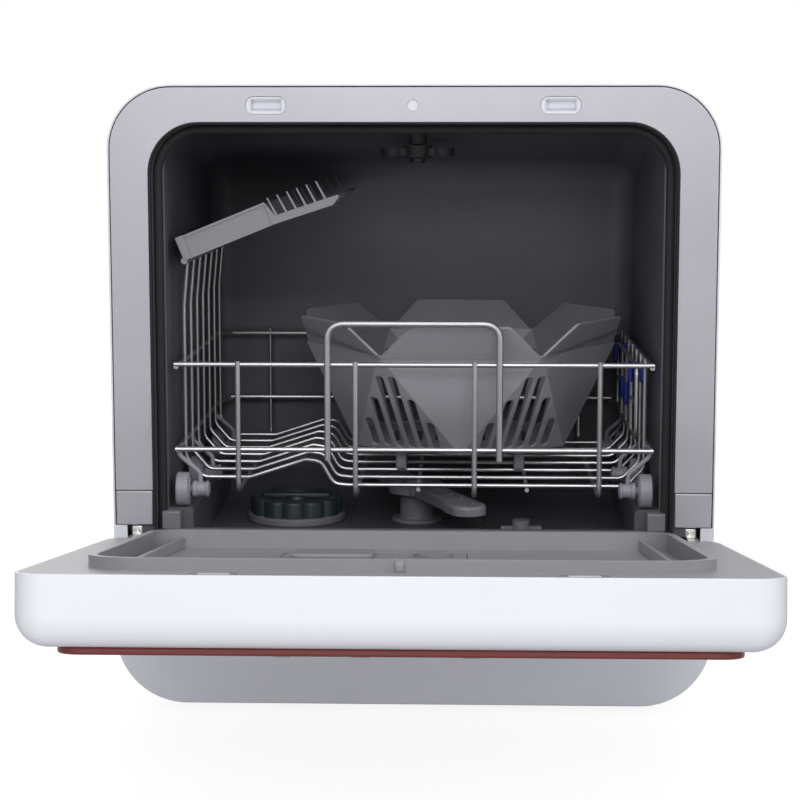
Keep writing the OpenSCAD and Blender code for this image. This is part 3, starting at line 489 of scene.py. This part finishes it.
class Piece:
    """What the operators that make pieces share."""
    bl_options = {"REGISTER", "UNDO"}

    def execute(self, context):
        self.make(context)
        return {"FINISHED"}


# --- Cabinet ---

class DISHWASHER_OT_cabinet(Piece, bpy.types.Operator):
    """Casing, front frame, hinge covers and brackets, base, panels, feet and latch keepers"""
    bl_idname = "dishwasher.cabinet"
    bl_label = "Cabinet"

    def make(self, context):
        edge = context.scene.dishwasher_cabinet.edge
        eased_node("casing", "enamel", edge * 0.5)
        eased_node("front_frame", "frame", edge)
        eased_node("hinge_covers", "frame", edge)
        eased_node("base_tray", "base", edge * 2, segments=3)
        eased_node("lower_front_panel", "base", edge)
        eased_node("rear_panel", "enamel", edge * 0.4)
        eased_node("feet", "rubber", edge)
        eased_node("hinge_brackets", "zinc", edge)
        lugs = bmesh.new()
        for x in (1.5 - HINGE_SLOT, HINGE_SLOT - 1.5):
            block(lugs, (x - 4, 3.4, 124.2), (x + 4, 8.4, 131.6), 1.2, 3)
            disc(lugs, (x, 2.5, 128.2), "Y", 2.1, 1.4, 0.4, sides=24)
        piece("hinge_bracket_lugs", lugs, "zinc", "cabinet")
        self.keepers()
        paint("gloss_white", "door_switch_plunger")

    def keepers(self):
        """Two white latch keepers, each with a pocket whose edge is chamfered."""
        low, high = extent("latch_keepers")
        middle, half_width = (low.z + high.z) / 2, 13.55
        slot_half, slot_rise, chamfer, depth = 10, 3.5, 1.2, 7.4
        keepers = bmesh.new()
        for side in (-1, 1):
            x = side * (high.x - half_width)
            body = block(bmesh.new(), (x - half_width, 0.6, low.z), (x + half_width, 12, high.z),
                         (high.z - low.z) / 2 - 0.7, 8, along(1))
            mouth, slot = [[(x - across, middle - up), (x + across, middle - up),
                            (x + across, middle + up), (x - across, middle + up)]
                           for across, up in ((slot_half + chamfer, slot_rise + chamfer), (slot_half, slot_rise))]
            pocket = prism(bmesh.new(), slot, 0, depth)
            funnel = bmesh.new()
            rings = [[funnel.verts.new((a, y, b)) for a, b in ring] for y, ring in ((0.5, mouth), (1.8, slot))]
            funnel.faces.new(rings[0])
            funnel.faces.new(rings[1])
            for k in range(4):
                funnel.faces.new((rings[0][k - 1], rings[0][k], rings[1][k], rings[1][k - 1]))
            bmesh.ops.recalc_face_normals(funnel, faces=funnel.faces)
            join(keepers, carved(body, pocket, funnel))
        ease(piece("latch_keeper_pockets", keepers, "gloss_white", "cabinet", replaces=("latch_keepers",)), 0.0003)


class DISHWASHER_OT_rear_fittings(Piece, bpy.types.Operator):
    """Screws, threaded inlet, barbed drain spigot and ribbed cord gland"""
    bl_idname = "dishwasher.rear_fittings"
    bl_label = "Rear fittings"

    def make(self, context):
        low, high = extent("rear_screws")
        screws = bmesh.new()
        face = extent("rear_panel")[1].y
        radius, long, wide = 3.5, 2.2, 0.4      # of a head and of the halves of its cross
        for x in (low.x + radius, high.x - radius):
            for z in (low.z + radius, 230, high.z - radius):
                head = lathe(bmesh.new(), [(0, 0), (0, radius), (0.9, 3.4), (1.7, 2.4), (1.95, 0)], (x, face, z), "Y",
                             24)
                slot = block(bmesh.new(), (x - long, face + 0.9, z - wide), (x + long, face + 3, z + wide))
                cross = block(bmesh.new(), (x - wide, face + 0.9, z - long), (x + wide, face + 3, z + long))
                join(screws, carved(head, slot, cross))
                disc(screws, (x, face - 7, z), "Y", 1.7, 7.0, sides=16)
        piece("rear_screw_heads", screws, "steel", "cabinet", replaces=("rear_screws",))

        eased_node("inlet_valve", "natural", 0.0008)
        thread = bmesh.new()
        start = extent("inlet_valve")[1].y - 10.5
        for k in range(5):
            lathe(thread, [(0, 13.1), (0.7, 13.9), (1.4, 13.1)], (INLET[0], start + k * 1.8, INLET[1]), "Y")
        piece("inlet_thread_turns", thread, "natural", "cabinet")

        eased_node("drain_outlet", "motor", 0.0006)
        barbs = bmesh.new()
        start = extent("drain_outlet")[1].y - 16
        for k in range(3):
            lathe(barbs, [(0, 9.0), (0, 10.2), (4.2, 9.0)], (DRAIN[0], start + k * 5, DRAIN[1]), "Y")
        piece("drain_barbs", barbs, "motor", "cabinet")

        gland = lathe(bmesh.new(), [(-15.5, 3.7), (-15.5, 7.6), (-13.6, 7.6), (-13.6, 12), (-10.4, 12), (-10, 9.4),
                                    (-8, 8.6), (-7.4, 7.2), (-6.4, 7.2), (-5.8, 8.2), (-4.4, 8.0), (-3.8, 6.6),
                                    (-2.8, 6.6), (-2.2, 7.6), (-0.4, 7.3), (0, 6.4), (0, 3.7), (-15.5, 3.7)],
                      (GLAND[0], extent("cord_gland")[1].y, GLAND[1]), "Y")
        piece("cord_gland_ribs", gland, "rubber", "cabinet", replaces=("cord_gland",))


# --- Tub ---

class DISHWASHER_OT_tub(Piece, bpy.types.Operator):
    """Tub with rounded corners, rack ledges, ceiling pockets and its front flange"""
    bl_idname = "dishwasher.tub"
    bl_label = "Tub"

    def make(self, context):
        def upper(edge):
            return along(1)(edge) and edge.verts[0].co.z > 300
        shell = block(bmesh.new(), (-175.5, 12, 107.5), (175.5, 277.5, 411), 12, 5, along(1))
        flange = block(bmesh.new(), (-190, 3.3, 125.5), (190, 18.5, 417.5), 35, 8, upper)
        side_view = [(8, 110), (228, 110), (275, 136), (275, 380), (165, 405), (8, 405)]
        cavity = prism(bmesh.new(), side_view, -173, 173, "X")
        rounded(cavity, [e for e in cavity.edges if max(v.co.y for v in e.verts) > 9], 17, 7)
        sill = block(bmesh.new(), (-MOUTH_HALF, -5, 60), (MOUTH_HALF, 15.9, MOUTH_SILL - 0.1))
        cavity = carved(cavity, sill)
        ledges = bmesh.new()
        for near, far in ((-190, -156), (156, 190)):
            block(ledges, (near, 16, 100), (far, 290, 142), 4, 3, along(1))
        cavity = carved(cavity, ledges)
        pockets = bmesh.new()
        for near, far in ((-150, -62), (62, 150)):
            block(pockets, (near, 62, 398), (far, 150, 408.5), 6, 4)
        mouth = block(bmesh.new(), (-MOUTH_HALF, -2, MOUTH_SILL), (MOUTH_HALF, 16, MOUTH_TOP), MOUTH_RADIUS, 10,
                      upper)
        holes = bmesh.new()
        for centre, z, radius, length in ((FILTER, 100, 34, 20), (SALT_CAP, 100, 30.4, 20),
                                          (SPRAY_AXIS, 100, 13.4, 20), (NOZZLE, 395, 7.4, 30)):
            disc(holes, (*centre, z), "Z", radius, length)
        tub = carved(shell, cavity, mouth, pockets, holes, add=flange)
        bmesh.ops.remove_doubles(tub, verts=tub.verts, dist=0.03)
        ease(piece("tub_moulding", tub, "tub", "cabinet", replaces=("tub",)), 0.0006, 2, 40)

        ribs = bmesh.new()
        for x in (-52, 52):
            block(ribs, (x - 1.2, 18, 109.2), (x + 1.2, 225, 110.8), 0.5, 2)
        piece("tub_ribs", ribs, "tub", "cabinet")

        lip = [(-1.7, 3.2), (-1.7, -0.9), (-1.2, -1.3), (-0.4, -1), (0, 0), (0, 3.2)]
        bulb = [(0.1, 15.8), (0.1, 10.6), (0.7, 9.9), (3.4, 9.7), (5.2, 10.3), (6, 11.8), (6.1, 13.4), (5.7, 15.8)]
        seal = bmesh.new()
        for profile in (lip, bulb):
            arch(seal, profile, MOUTH_HALF, MOUTH_SILL + 0.1, MOUTH_TOP, MOUTH_RADIUS)
        piece("mouth_gasket", seal, "rubber", "cabinet", replaces=("door_seal",), angle=50)
        eased_node("rail_stops", "arm", 0.001)
        eased_node("filter_plate", "steel", 0.0004)
        eased_node("filter_cup", "arm", 0.001)
        eased_node("spray_pedestal", "arm", 0.0008)
        self.salt_cap()
        eased_node("ceiling_nozzle", "dark", 0.0006)
        eased_node("ceiling_spray_rotor", "dark", 0.001)

    def salt_cap(self):
        """A cap with twelve lobes, a raised rim and a grip across its top."""
        low, high = extent("salt_cap")
        top, reach = high.z, (high.x - low.x) / 2
        lobes, dent, points = 12, 3.4, 144
        outline = []
        for k in range(points):
            turn = tau * k / points
            radius = reach - dent * (1 - abs(cos(lobes / 2 * turn))) ** 1.6
            outline.append((radius * cos(turn), radius * sin(turn)))
        cap = prism(bmesh.new(), outline, low.z, top - 2.2, "Z")
        rounded(cap, [e for e in cap.edges if all(v.co.z > top - 2.5 for v in e.verts)], 2.4, 4)
        dish = disc(bmesh.new(), (0, 0, top - 4.6), "Z", reach - 9, 6, sides=64)
        cap = carved(cap, dish)
        block(cap, (-reach + 9.5, -3.2, top - 5), (reach - 9.5, 3.2, top - 0.2), 1.6, 3)
        lathe(cap, [(0, 0), (0, 9), (2.2, 8.2), (2.6, 0)], (0, 0, top - 4.7), "Z", 40)
        bmesh.ops.translate(cap, vec=((low.x + high.x) / 2, (low.y + high.y) / 2, 0), verts=cap.verts)
        piece("salt_cap_lobes", cap, "salt", "salt_lid", replaces=("salt_cap",), angle=38)


class DISHWASHER_OT_spray_arm(Piece, bpy.types.Operator):
    """Lower spray arm with its domed tips and nozzles"""
    bl_idname = "dishwasher.spray_arm"
    bl_label = "Spray arm"

    def make(self, context):
        low, top, bore_r = 133, 140.2, 4.3
        places = [(side * reach, side * 4) for side in (-1, 1) for reach in (38, 58, 78, 99)]
        arm = block(bmesh.new(), (-112, -13, low), (112, 13, top), 12.4, 10, along(2))
        rounded(arm, [e for e in arm.edges if abs(e.verts[0].co.z - e.verts[1].co.z) < 1e-5
                      and any(len(f.verts) > 6 for f in e.link_faces) and e.verts[0].co.z > 138], 2.6, 4)
        bore = disc(bmesh.new(), (0, 0, 130), "Z", bore_r, 14)
        waist = bmesh.new()
        for y in (-17, 17):
            for start, end in ((-86, -20), (20, 86)):
                block(waist, (start, y - 6, 130), (end, y + 6, 143), 5, 5, along(2))
        jets = bmesh.new()
        for x, y in places:
            disc(jets, (x, y, 139), "Z", 1.7, 5, sides=20)
        arm = carved(arm, bore, waist, jets)
        hub = lathe(bmesh.new(), [(0, bore_r), (0, 22), (4.4, 22), (6.6, 19.5), (7.3, 15), (7.3, bore_r),
                                  (0, bore_r)], (0, 0, low), "Z")
        arm = carved(arm, add=hub)
        for x, y in places:
            lathe(arm, [(-1.5, 1.3), (-0.2, 2.9), (0.25, 2.6), (0.35, 1.6), (-1.5, 1.3)], (x, y, top), "Z", 20)
        # Where the hub meets the flat underside, the solver can leave a sliver open.
        bmesh.ops.holes_fill(arm, edges=[e for e in arm.edges if e.is_boundary], sides=6)
        turn = Matrix.Translation((*SPRAY_AXIS, 0)) @ Matrix.Rotation(radians(-67), 4, "Z")
        bmesh.ops.transform(arm, matrix=turn, verts=arm.verts)
        ease(piece("spray_arm_moulding", arm, "arm", "arm", replaces=("lower_spray_arm",)), 0.0005, 2, 40)


class DISHWASHER_OT_works(Piece, bpy.types.Operator):
    """Pumps, heater, softener, pipes and springs, which the casing hides"""
    bl_idname = "dishwasher.works"
    bl_label = "Works"

    def make(self, context):
        for name, finish, width in (
                ("sump", "motor", 0.0008), ("wash_pump", "motor", 0.001), ("drain_pump", "motor", 0.001),
                ("heater", "steel", 0.001), ("water_softener", "arm", 0.0015), ("riser_pipe", "natural", 0.0006),
                ("water_distributor", "natural", 0.0015)):
            eased_node(name, finish, width)
        paint("steel", "door_cables")

        springs = bmesh.new()
        low, high = extent("door_springs")
        z, radius, turns, steps = 84, 5, 26, 14
        for x in (low.x + 6, high.x - 6):
            coil = [(x + radius * cos(k / steps * tau), 130.8 + 118.4 * k / (turns * steps),
                     z + radius * sin(k / steps * tau)) for k in range(turns * steps + 1)]
            wires(springs, [coil], 0.0018, 1)
            wires(springs, [[(x, 249, z), (x, 263, z)]], 0.004, 2)
            block(springs, (x - 4, 262, 56), (x + 4, 268, 87), 1, 2)
        piece("door_spring_coils", springs, "steel", "cabinet", replaces=("door_springs",))


# --- Door ---

class DISHWASHER_OT_door(Piece, bpy.types.Operator):
    """Door shell, red front panel, liner, latch, strip, buttons and dispenser"""
    bl_idname = "dishwasher.door"
    bl_label = "Door"

    def make(self, context):
        edge = context.scene.dishwasher_door.edge
        shell = block(bmesh.new(), (-210, -42.5, 106), (210, -1.5, 435.85))
        for upper, radius in ((True, 20), (False, 40)):
            picked = [e for e in shell.edges if along(1)(e) and (e.verts[0].co.z > 270) == upper
                      and abs(e.verts[0].co.x) > 209]
            rounded(shell, picked, radius, 14)
        outer = [e for e in shell.edges if all(v.co.y < -42 for v in e.verts)
                 and any(abs(f.normal.y) < 0.5 for f in e.link_faces)]
        rounded(shell, outer, 18, 9, clamp=False)
        open_side = [f for f in shell.faces if f.normal.y > 0.9]
        bmesh.ops.delete(shell, geom=open_side, context="FACES")
        bmesh.ops.recalc_face_normals(shell, faces=shell.faces)
        if max(shell.faces, key=lambda f: -f.calc_center_median().y).normal.y > 0:
            bmesh.ops.reverse_faces(shell, faces=shell.faces)
        bmesh.ops.solidify(shell, geom=shell.faces, thickness=2.3)
        slots = bmesh.new()
        for side in (-1, 1):
            near, far = sorted((side * (HINGE_SLOT - 10.5), side * (HINGE_SLOT + 6)))
            block(slots, (near, -18, 100), (far, 2, 127))
        shell = carved(shell, slots)
        ease(piece("door_shell_moulding", shell, "gloss_white", "door", place=DOOR, replaces=("door_shell",),
                   angle=30), 0.0006, 2, 50)

        eased_node("door_panel", "red", 0.0012, segments=3)
        eased_node("door_liner", "liner", edge, segments=3)
        details = block(bmesh.new(), (-2.6, -1.6, 403.5), (2.6, 4.6, 410), 0.8, 2)
        for x in (-150, -75, 75, 150):
            disc(details, (x, -2.2, 415.5), "Y", 3.2, 1.2, 0.4, sides=24)
        piece("liner_details", details, "liner", "door", place=DOOR)
        for name, finish, width in (
                ("detergent_cup", "liner", 0.001), ("dispenser_lid", "liner", 0.0009),
                ("rinse_aid_cap", "arm", 0.0007), ("latch_bar", "gloss_white", 0.0006),
                ("control_strip", "strip", 0.0004), ("power_button", "button", 0.0004),
                ("program_button", "button", 0.0004), ("start_button", "button", 0.0004),
                ("control_board", "board", 0.0003), ("door_hinge_plates", "zinc", 0.0005)):
            eased_node(name, finish, width)
        paint("steel", "hinge_pins")


# --- Rack ---

TALL_Y = [44 + 34 * k for k in range(7)]
FRONT_WIRE_Y, REAR_WIRE_Y = 22, 262


class DISHWASHER_OT_rack(Piece, bpy.types.Operator):
    """Wire rack with its handle and folded plate shelf"""
    bl_idname = "dishwasher.rack"
    bl_label = "Rack"

    def make(self, context):
        look = context.scene.dishwasher_rack
        rails = bmesh.new()
        y0, y1 = FRONT_WIRE_Y, REAR_WIRE_Y
        paths = [[(-169, y0, 243.5), (169, y0, 243.5)], [(-169, y0, 183), (169, y0, 183)]]
        for x in (-167.5, 167.5):
            paths.append(filleted([(x, y0 - 1, 242), (x, y1 - 12, 242), (x * 0.93, y1, 242)], 10))
            paths.append(filleted([(x, y0 - 1, 183), (x, y1 - 12, 185), (x * 0.93, y1, 187)], 10))
        paths += [[(-157, y1, 242), (157, y1, 242)], [(-157, y1, 189), (157, y1, 189)]]
        for x, floor in ((-124, 153.5), (-41, 150.4), (43, 150.4), (131, 150.4)):
            paths.append(filleted([(x, y0 - 1.5, 246), (x, y0 - 1.5, floor), (x, y0 + 12, floor), (x, y1 - 12, floor),
                                   (x, y1 + 1, floor + 4), (x, y1 + 1, 246)], 9))
        wires(rails, paths, look.rail, look.sides)
        piece("rack_rails", rails, "wire", "rack", replaces=("rack_front", "rack_rear"))

        handle = bmesh.new()
        half, y, foot, top = 60.5, 18.6, 176, 272.6
        wires(handle, [filleted([(-half, y, foot), (-half, y, top), (half, y, top), (half, y, foot)], 12, 8)],
              look.handle, look.sides + 1)
        piece("rack_handle", handle, "wire", "rack")

        cross = bmesh.new()
        paths = [filleted([(-161.5, y, 315.5), (-164.5, y, 283), (-164.5, y, 174), (-152, y, 159.5), (-118, y, 159.5),
                           (-78, y, 172.5), (-67, y, 171), (-58, y, 155), (-48, y, 154), (152, y, 154),
                           (164.5, y, 167), (164.5, y, 246)], 9) for y in TALL_Y]
        paths += [[(x, TALL_Y[0] - 3, 151.2), (x, TALL_Y[-1] + 3, 151.2)] for x in (3, 81)]
        wires(cross, paths, look.wire, look.sides)
        piece("rack_cross_wires", cross, "wire", "rack", replaces=("rack_left", "rack_right", "rack_floor"))

        shelf = bmesh.new()
        x, near, far, low, high = 159.5, 55, 224, 187, 239
        paths = [filleted([(x, 140, low), (x, near, low), (x, near, high), (x, far, high), (x, far, low),
                           (x, 140, low)], 8),
                 [(x, near, 212), (x, far, 212)]]
        paths += [[(x, y, low), (x, y, high)] for y in (97.5, 139.5, 181.5)]
        wires(shelf, paths, look.wire, look.sides)
        piece("plate_shelf_wires", shelf, "wire", "rack", replaces=("plate_shelf",))
        eased_node("shelf_clips", "blue", 0.0008)


class DISHWASHER_OT_wheels(Piece, bpy.types.Operator):
    """Rack wheels with their hubs"""
    bl_idname = "dishwasher.wheels"
    bl_label = "Wheels"

    def make(self, context):
        hubs = bmesh.new()
        for word in ("front", "middle", "rear"):
            low, high = extent(word + "_wheels")
            y, z = (low.y + high.y) / 2, (low.z + high.z) / 2
            wheel = lathe(bmesh.new(), [(0, 3.1), (0, 7.4), (0.9, 8.2), (0.5, 9.6), (0.6, 11), (1.4, 12), (9.1, 12),
                                        (9.9, 11), (10, 9.6), (9.4, 8.4), (8.7, 7.4), (8.7, 3.1), (0, 3.1)],
                          (158.6, y, z), "X")
            other = wheel.copy()
            bmesh.ops.scale(other, vec=(-1, 1, 1), verts=other.verts)
            bmesh.ops.reverse_faces(other, faces=other.faces)
            join(wheel, other)
            piece(word + "_wheel_pair", wheel, "lilac", "wheels_" + word, replaces=(word + "_wheels",))
            for side in (-1, 1):
                half = lathe(bmesh.new(), [(0, 0), (0, 3.4), (0.5, 4.6), (1.2, 5.8), (2.4, 5.8), (3, 5), (8.5, 5),
                                           (9.2, 5.9), (11.6, 5.9), (12.4, 5), (12.4, 3), (23.6, 3), (23.6, 3.9),
                                           (24.2, 3.9), (24.2, 0)], (145, y, z), "X")
                if side < 0:
                    bmesh.ops.scale(half, vec=(-1, 1, 1), verts=half.verts)
                    bmesh.ops.reverse_faces(half, faces=half.faces)
                join(hubs, half)
                wires(hubs, [filleted([(side * 151.5, y, z + 3), (side * 152, y, z + 12), (side * 166, y, 178),
                                       (side * 167.4, y, 184)], 5)], 0.0034, 2)
        piece("wheel_hub_bobbins", hubs, "lilac", "rack", replaces=("wheel_hubs",))


# --- Basket and tray ---

BASKET = Vector((33, 143, 0))                  # its middle
BASKET_LOW, BASKET_RIM = 174.2, 247.8          # heights of its bottom and its rim
BASKET_LOW_R, BASKET_RIM_R = 88.8, 117.8       # corner radii of both hexagons


class DISHWASHER_OT_fruit_basket(Piece, bpy.types.Operator):
    """Fruit basket of folded triangles, with slotted panels and turned-out petals"""
    bl_idname = "dishwasher.fruit_basket"
    bl_label = "Fruit basket"

    def bowl(self, wall):
        """The bowl's walls: a hexagonal rim over a hexagonal bottom that is turned by half a side."""
        bm = bmesh.new()

        def ring(radius, z, first):
            turns = [first + k * pi / 3 for k in range(6)]
            return [bm.verts.new((radius * cos(turn), radius * sin(turn), z)) for turn in turns]
        low = ring(BASKET_LOW_R, BASKET_LOW, radians(30))
        rim = ring(BASKET_RIM_R, BASKET_RIM, 0)
        bm.faces.new(low[::-1])
        for k in range(6):
            bm.faces.new((rim[k], low[k - 1], low[k]))
            bm.faces.new((rim[k], low[k], rim[(k + 1) % 6]))
        bmesh.ops.recalc_face_normals(bm, faces=bm.faces)
        if min(bm.faces, key=lambda f: f.calc_center_median().z).normal.z > 0:
            bmesh.ops.reverse_faces(bm, faces=bm.faces)
        bmesh.ops.solidify(bm, geom=bm.faces, thickness=wall)
        return bm

    def slots(self, count):
        """Cutters for the slots in the six panels that stand on the bottom, and in the bottom."""
        cutters = bmesh.new()
        foot = BASKET_LOW_R * cos(radians(30))
        lean = atan2(BASKET_RIM_R - foot, BASKET_RIM - BASKET_LOW)
        pitch = BASKET_LOW_R / (count + 2.5)
        for k in range(6):
            for row in range(count):
                off = row - (count - 1) / 2
                top = 76 - abs(off) * pitch * 1.86
                slot = block(bmesh.new(), (-5, (off - 0.33) * pitch, 2.5), (5, (off + 0.33) * pitch, top),
                             0.31 * pitch, 4, along(0))
                join(cutters, slot, Matrix.Rotation(k * pi / 3, 4, "Z")
                     @ Matrix.Translation((foot, 0, BASKET_LOW)) @ Matrix.Rotation(lean, 4, "Y"))
        for x in range(-48, 49, 16):
            block(cutters, (x - 3, -30, BASKET_LOW - 5), (x + 3, 30, BASKET_LOW + 6), 2.8, 4, along(2))
        return cutters

    def petal(self, wall):
        """A petal that leans outwards from the rim's front side."""
        half, top, height = BASKET_RIM_R / 2 - 2.5, 36.0, 28
        bm = prism(bmesh.new(), [(-half, 0), (half, 0), (top + 1, height - 2), (top - 2, height), (2 - top, height),
                                 (-top - 1, height - 2)], 0, wall)
        lean = Matrix.Translation((0, 0.8 - BASKET_RIM_R * cos(radians(30)), BASKET_RIM - 0.8)) \
            @ Matrix.Rotation(radians(37), 4, "X")
        bmesh.ops.transform(bm, matrix=lean, verts=bm.verts)
        return bm

    def make(self, context):
        look = context.scene.dishwasher_basket
        wall = look.wall * 1000
        basket = carved(self.bowl(wall), self.slots(look.slots))
        for k in range(6):
            join(basket, self.petal(wall), Matrix.Rotation(k * pi / 3, 4, "Z"))
        for x in (-44, 44):
            for y in (-34, 34):
                block(basket, (x - 4, y - 6, 155.8), (x + 4, y + 6, BASKET_LOW + 0.5), 1.2, 2)
        bmesh.ops.translate(basket, vec=BASKET, verts=basket.verts)
        ease(piece("fruit_basket_moulding", basket, "basket", "basket", replaces=("fruit_basket",), angle=20),
             0.0004, 2, 30)


class DISHWASHER_OT_cup_tray(Piece, bpy.types.Operator):
    """Tilted cup tray with its end caps and its combs of teeth"""
    bl_idname = "dishwasher.cup_tray"
    bl_label = "Cup tray"

    def make(self, context):
        # length, where its floor bends, how far it reaches, depth of its walls, wall and tooth thickness
        length, knee, far, deep, wall, tooth_t = 208.0, 70.8, 118.0, 17.0, 2.4, 2
        slope = sin(radians(4))

        def floor_z(x):
            """Height of the tray's underside."""
            return -slope * max(0.0, x - knee)
        tray = prism(bmesh.new(), [(0, 0), (knee, 0), (far - 6, floor_z(far - 6)), (far, floor_z(far) + 4),
                                   (far, floor_z(far) + 6), (knee + 1, 5.6), (knee - 3, deep), (0, deep)],
                     0, length)
        inner = [(wall, 2.2), (knee, 2.2), (far - 2.6, floor_z(far) + 3), (far - 2.6, 40), (wall, 40)]
        hollow = prism(bmesh.new(), inner, wall, length - wall)
        gaps = bmesh.new()
        for k in range(12):
            y = 9 + k * 16.3
            block(gaps, (20, y, -20), (knee - 5, y + 8, 10), 2, 3, along(2))
            block(gaps, (knee + 3, y, -30), (far - 9, y + 8, 6), 2, 3, along(2))
        recess = bmesh.new()
        for y in (-0.6, length - 1.4):
            block(recess, (6, y, -1), (knee - 3.2, y + tooth_t, deep - 1.8))
        tray = carved(tray, hollow, gaps, recess)
        for y in (0.2, length - 0.2 - tooth_t):
            for k in range(6):
                x = knee + 1.5 + k * 7.2
                foot, top = floor_z(x) + 1.5, deep + 2 - k * 0.4
                prism(tray, [(x, foot), (x + 1.8, foot), (x - 0.7, top), (x - 1.7, top)], y, y + tooth_t)
        for y in (-0.4, length - 1.6):
            block(tray, (0, y, 0), (5.4, y + 2, deep + 0.4), 0.6, 2)
        disc(tray, (0, 0, 0), "Y", 2.35, length, 0.4, sides=24)
        x, _, z = [c * 1000 for c in JOINTS["tray_hinge"]["pos_m"]]
        place = Matrix.Translation((x, extent("cup_tray")[0].y + 0.4, z)) @ Matrix.Rotation(radians(-22), 4, "Y")
        bmesh.ops.transform(tray, matrix=place, verts=tray.verts)
        ease(piece("cup_tray_moulding", tray, "tray", "tray", replaces=("cup_tray",)), 0.0005, 2, 40)


# --- Stage ---

class DISHWASHER_OT_stage(Piece, bpy.types.Operator):
    """Pale floor, soft studio light and the camera"""
    bl_idname = "dishwasher.stage"
    bl_label = "Stage"

    def lamp(self, name, place, target, size, power, glossy=True):
        light = bpy.data.lights.new(name, "AREA")
        light.shape = "RECTANGLE"
        light.size, light.size_y = size
        light.energy = power
        obj = linked(name, light)
        obj.location = place
        obj.visible_glossy = glossy
        obj.rotation_euler = (Vector(target) - Vector(place)).to_track_quat("-Z", "Y").to_euler()

    def make(self, context):
        scene = context.scene
        look = scene.dishwasher_stage
        floor = bmesh.new()
        bmesh.ops.create_grid(floor, x_segments=1, y_segments=1, size=20)
        ground = linked("floor", meshed(floor, "floor"))

        finish = bpy.data.materials.new("pale_floor")
        tree, out = cleared(finish, "OutputMaterial")
        # The camera sees a floor that is white where no shadow lies; all other rays see plain matt grey.
        matt = node(tree, "BsdfDiffuse", Color=(0.55, 0.55, 0.55, 1))
        glow = node(tree, "Emission", Color=(1, 1, 1, 1), Strength=1.77)
        ray = node(tree, "LightPath")
        share = node(tree, "Math")
        share.operation = "MULTIPLY"
        share.inputs[1].default_value = 0.5 if look.show_shadow else 1.0
        tree.links.new(ray.outputs["Is Camera Ray"], share.inputs[0])
        mixed(tree, out, share.outputs[0], matt, glow)
        ground.data.materials.append(finish)

        scene.world = bpy.data.worlds.new("studio")
        tree, out = cleared(scene.world, "OutputWorld")
        shade = node(tree, "Background", Color=(1, 1, 1, 1), Strength=0.42)
        white = node(tree, "Background", Color=(1, 1, 1, 1), Strength=1.0)
        ray = node(tree, "LightPath")
        seen = ray.outputs["Is Camera Ray"]
        for also in ("Is Glossy Ray", "Is Transmission Ray"):
            both = node(tree, "Math")
            both.operation = "MAXIMUM"
            tree.links.new(seen, both.inputs[0])
            tree.links.new(ray.outputs[also], both.inputs[1])
            seen = both.outputs[0]
        mixed(tree, out, seen, shade, white)

        self.lamp("overhead", (0.3, -0.5, 1.9), (0, 0, 0.2), (1.6, 1.2), 7.5)
        self.lamp("front_high", (0.0, -2.0, 1.05), (0, 0, 0.25), (1.2, 0.6), 12)
        self.lamp("front_low", (-0.2, -1.5, 0.05), (0, 0, 0.06), (1.6, 0.08), 6.5, glossy=False)
        self.lamp("right_fill", (1.9, -0.8, 0.8), (0, 0, 0.2), (0.9, 1.4), 6)
        self.lamp("rear_fill", (-1.2, 1.9, 1.0), (0, 0, 0.2), (1.8, 1.5), 10)

        camera = bpy.data.cameras.new("camera")
        camera.sensor_width = 36
        camera.lens = look.focal
        camera.clip_start = 0.02
        camera.clip_end = 60
        camera.dof.use_dof = False
        eye = linked("camera", camera)
        eye.location = (0.0329, FRONT_Y - 1.35, 0.4019)
        eye.rotation_euler = (radians(90) - look.pitch, 0, look.yaw)
        scene.camera = eye
        scene.view_settings.view_transform = "Standard"


STEPS = (
    DISHWASHER_OT_stage, DISHWASHER_OT_cabinet, DISHWASHER_OT_rear_fittings, DISHWASHER_OT_tub,
    DISHWASHER_OT_spray_arm, DISHWASHER_OT_works, DISHWASHER_OT_door, DISHWASHER_OT_rack, DISHWASHER_OT_wheels,
    DISHWASHER_OT_fruit_basket, DISHWASHER_OT_cup_tray,
)


class DISHWASHER_PT_panel(bpy.types.Panel):
    """The pieces of the dishwasher"""
    bl_label = "Dishwasher"
    bl_idname = "DISHWASHER_PT_panel"
    bl_space_type = "VIEW_3D"
    bl_region_type = "UI"
    bl_category = "Dishwasher"

    def draw(self, context):
        for step in STEPS:
            self.layout.operator(step.bl_idname)
        for group in GROUPS:
            box = self.layout.box()
            settings = getattr(context.scene, group)
            for name in settings.bl_rna.properties.keys():
                if name not in ("rna_type", "name"):
                    box.prop(settings, name)


GROUPS = {
    "dishwasher_cabinet": DISHWASHER_PG_cabinet,
    "dishwasher_door": DISHWASHER_PG_door,
    "dishwasher_rack": DISHWASHER_PG_rack,
    "dishwasher_basket": DISHWASHER_PG_basket,
    "dishwasher_stage": DISHWASHER_PG_stage,
}


def register():
    for group, kind in GROUPS.items():
        bpy.utils.register_class(kind)
        setattr(bpy.types.Scene, group, PointerProperty(type=kind))
    for step in STEPS:
        bpy.utils.register_class(step)
    bpy.utils.register_class(DISHWASHER_PT_panel)


def unregister():
    bpy.utils.unregister_class(DISHWASHER_PT_panel)
    for step in reversed(STEPS):
        bpy.utils.unregister_class(step)
    for group, kind in reversed(GROUPS.items()):
        delattr(bpy.types.Scene, group)
        bpy.utils.unregister_class(kind)


def main():
    register()
    for step in STEPS:
        getattr(bpy.ops.dishwasher, step.bl_idname.split(".")[1])()


if __name__ == "__main__":
    main()
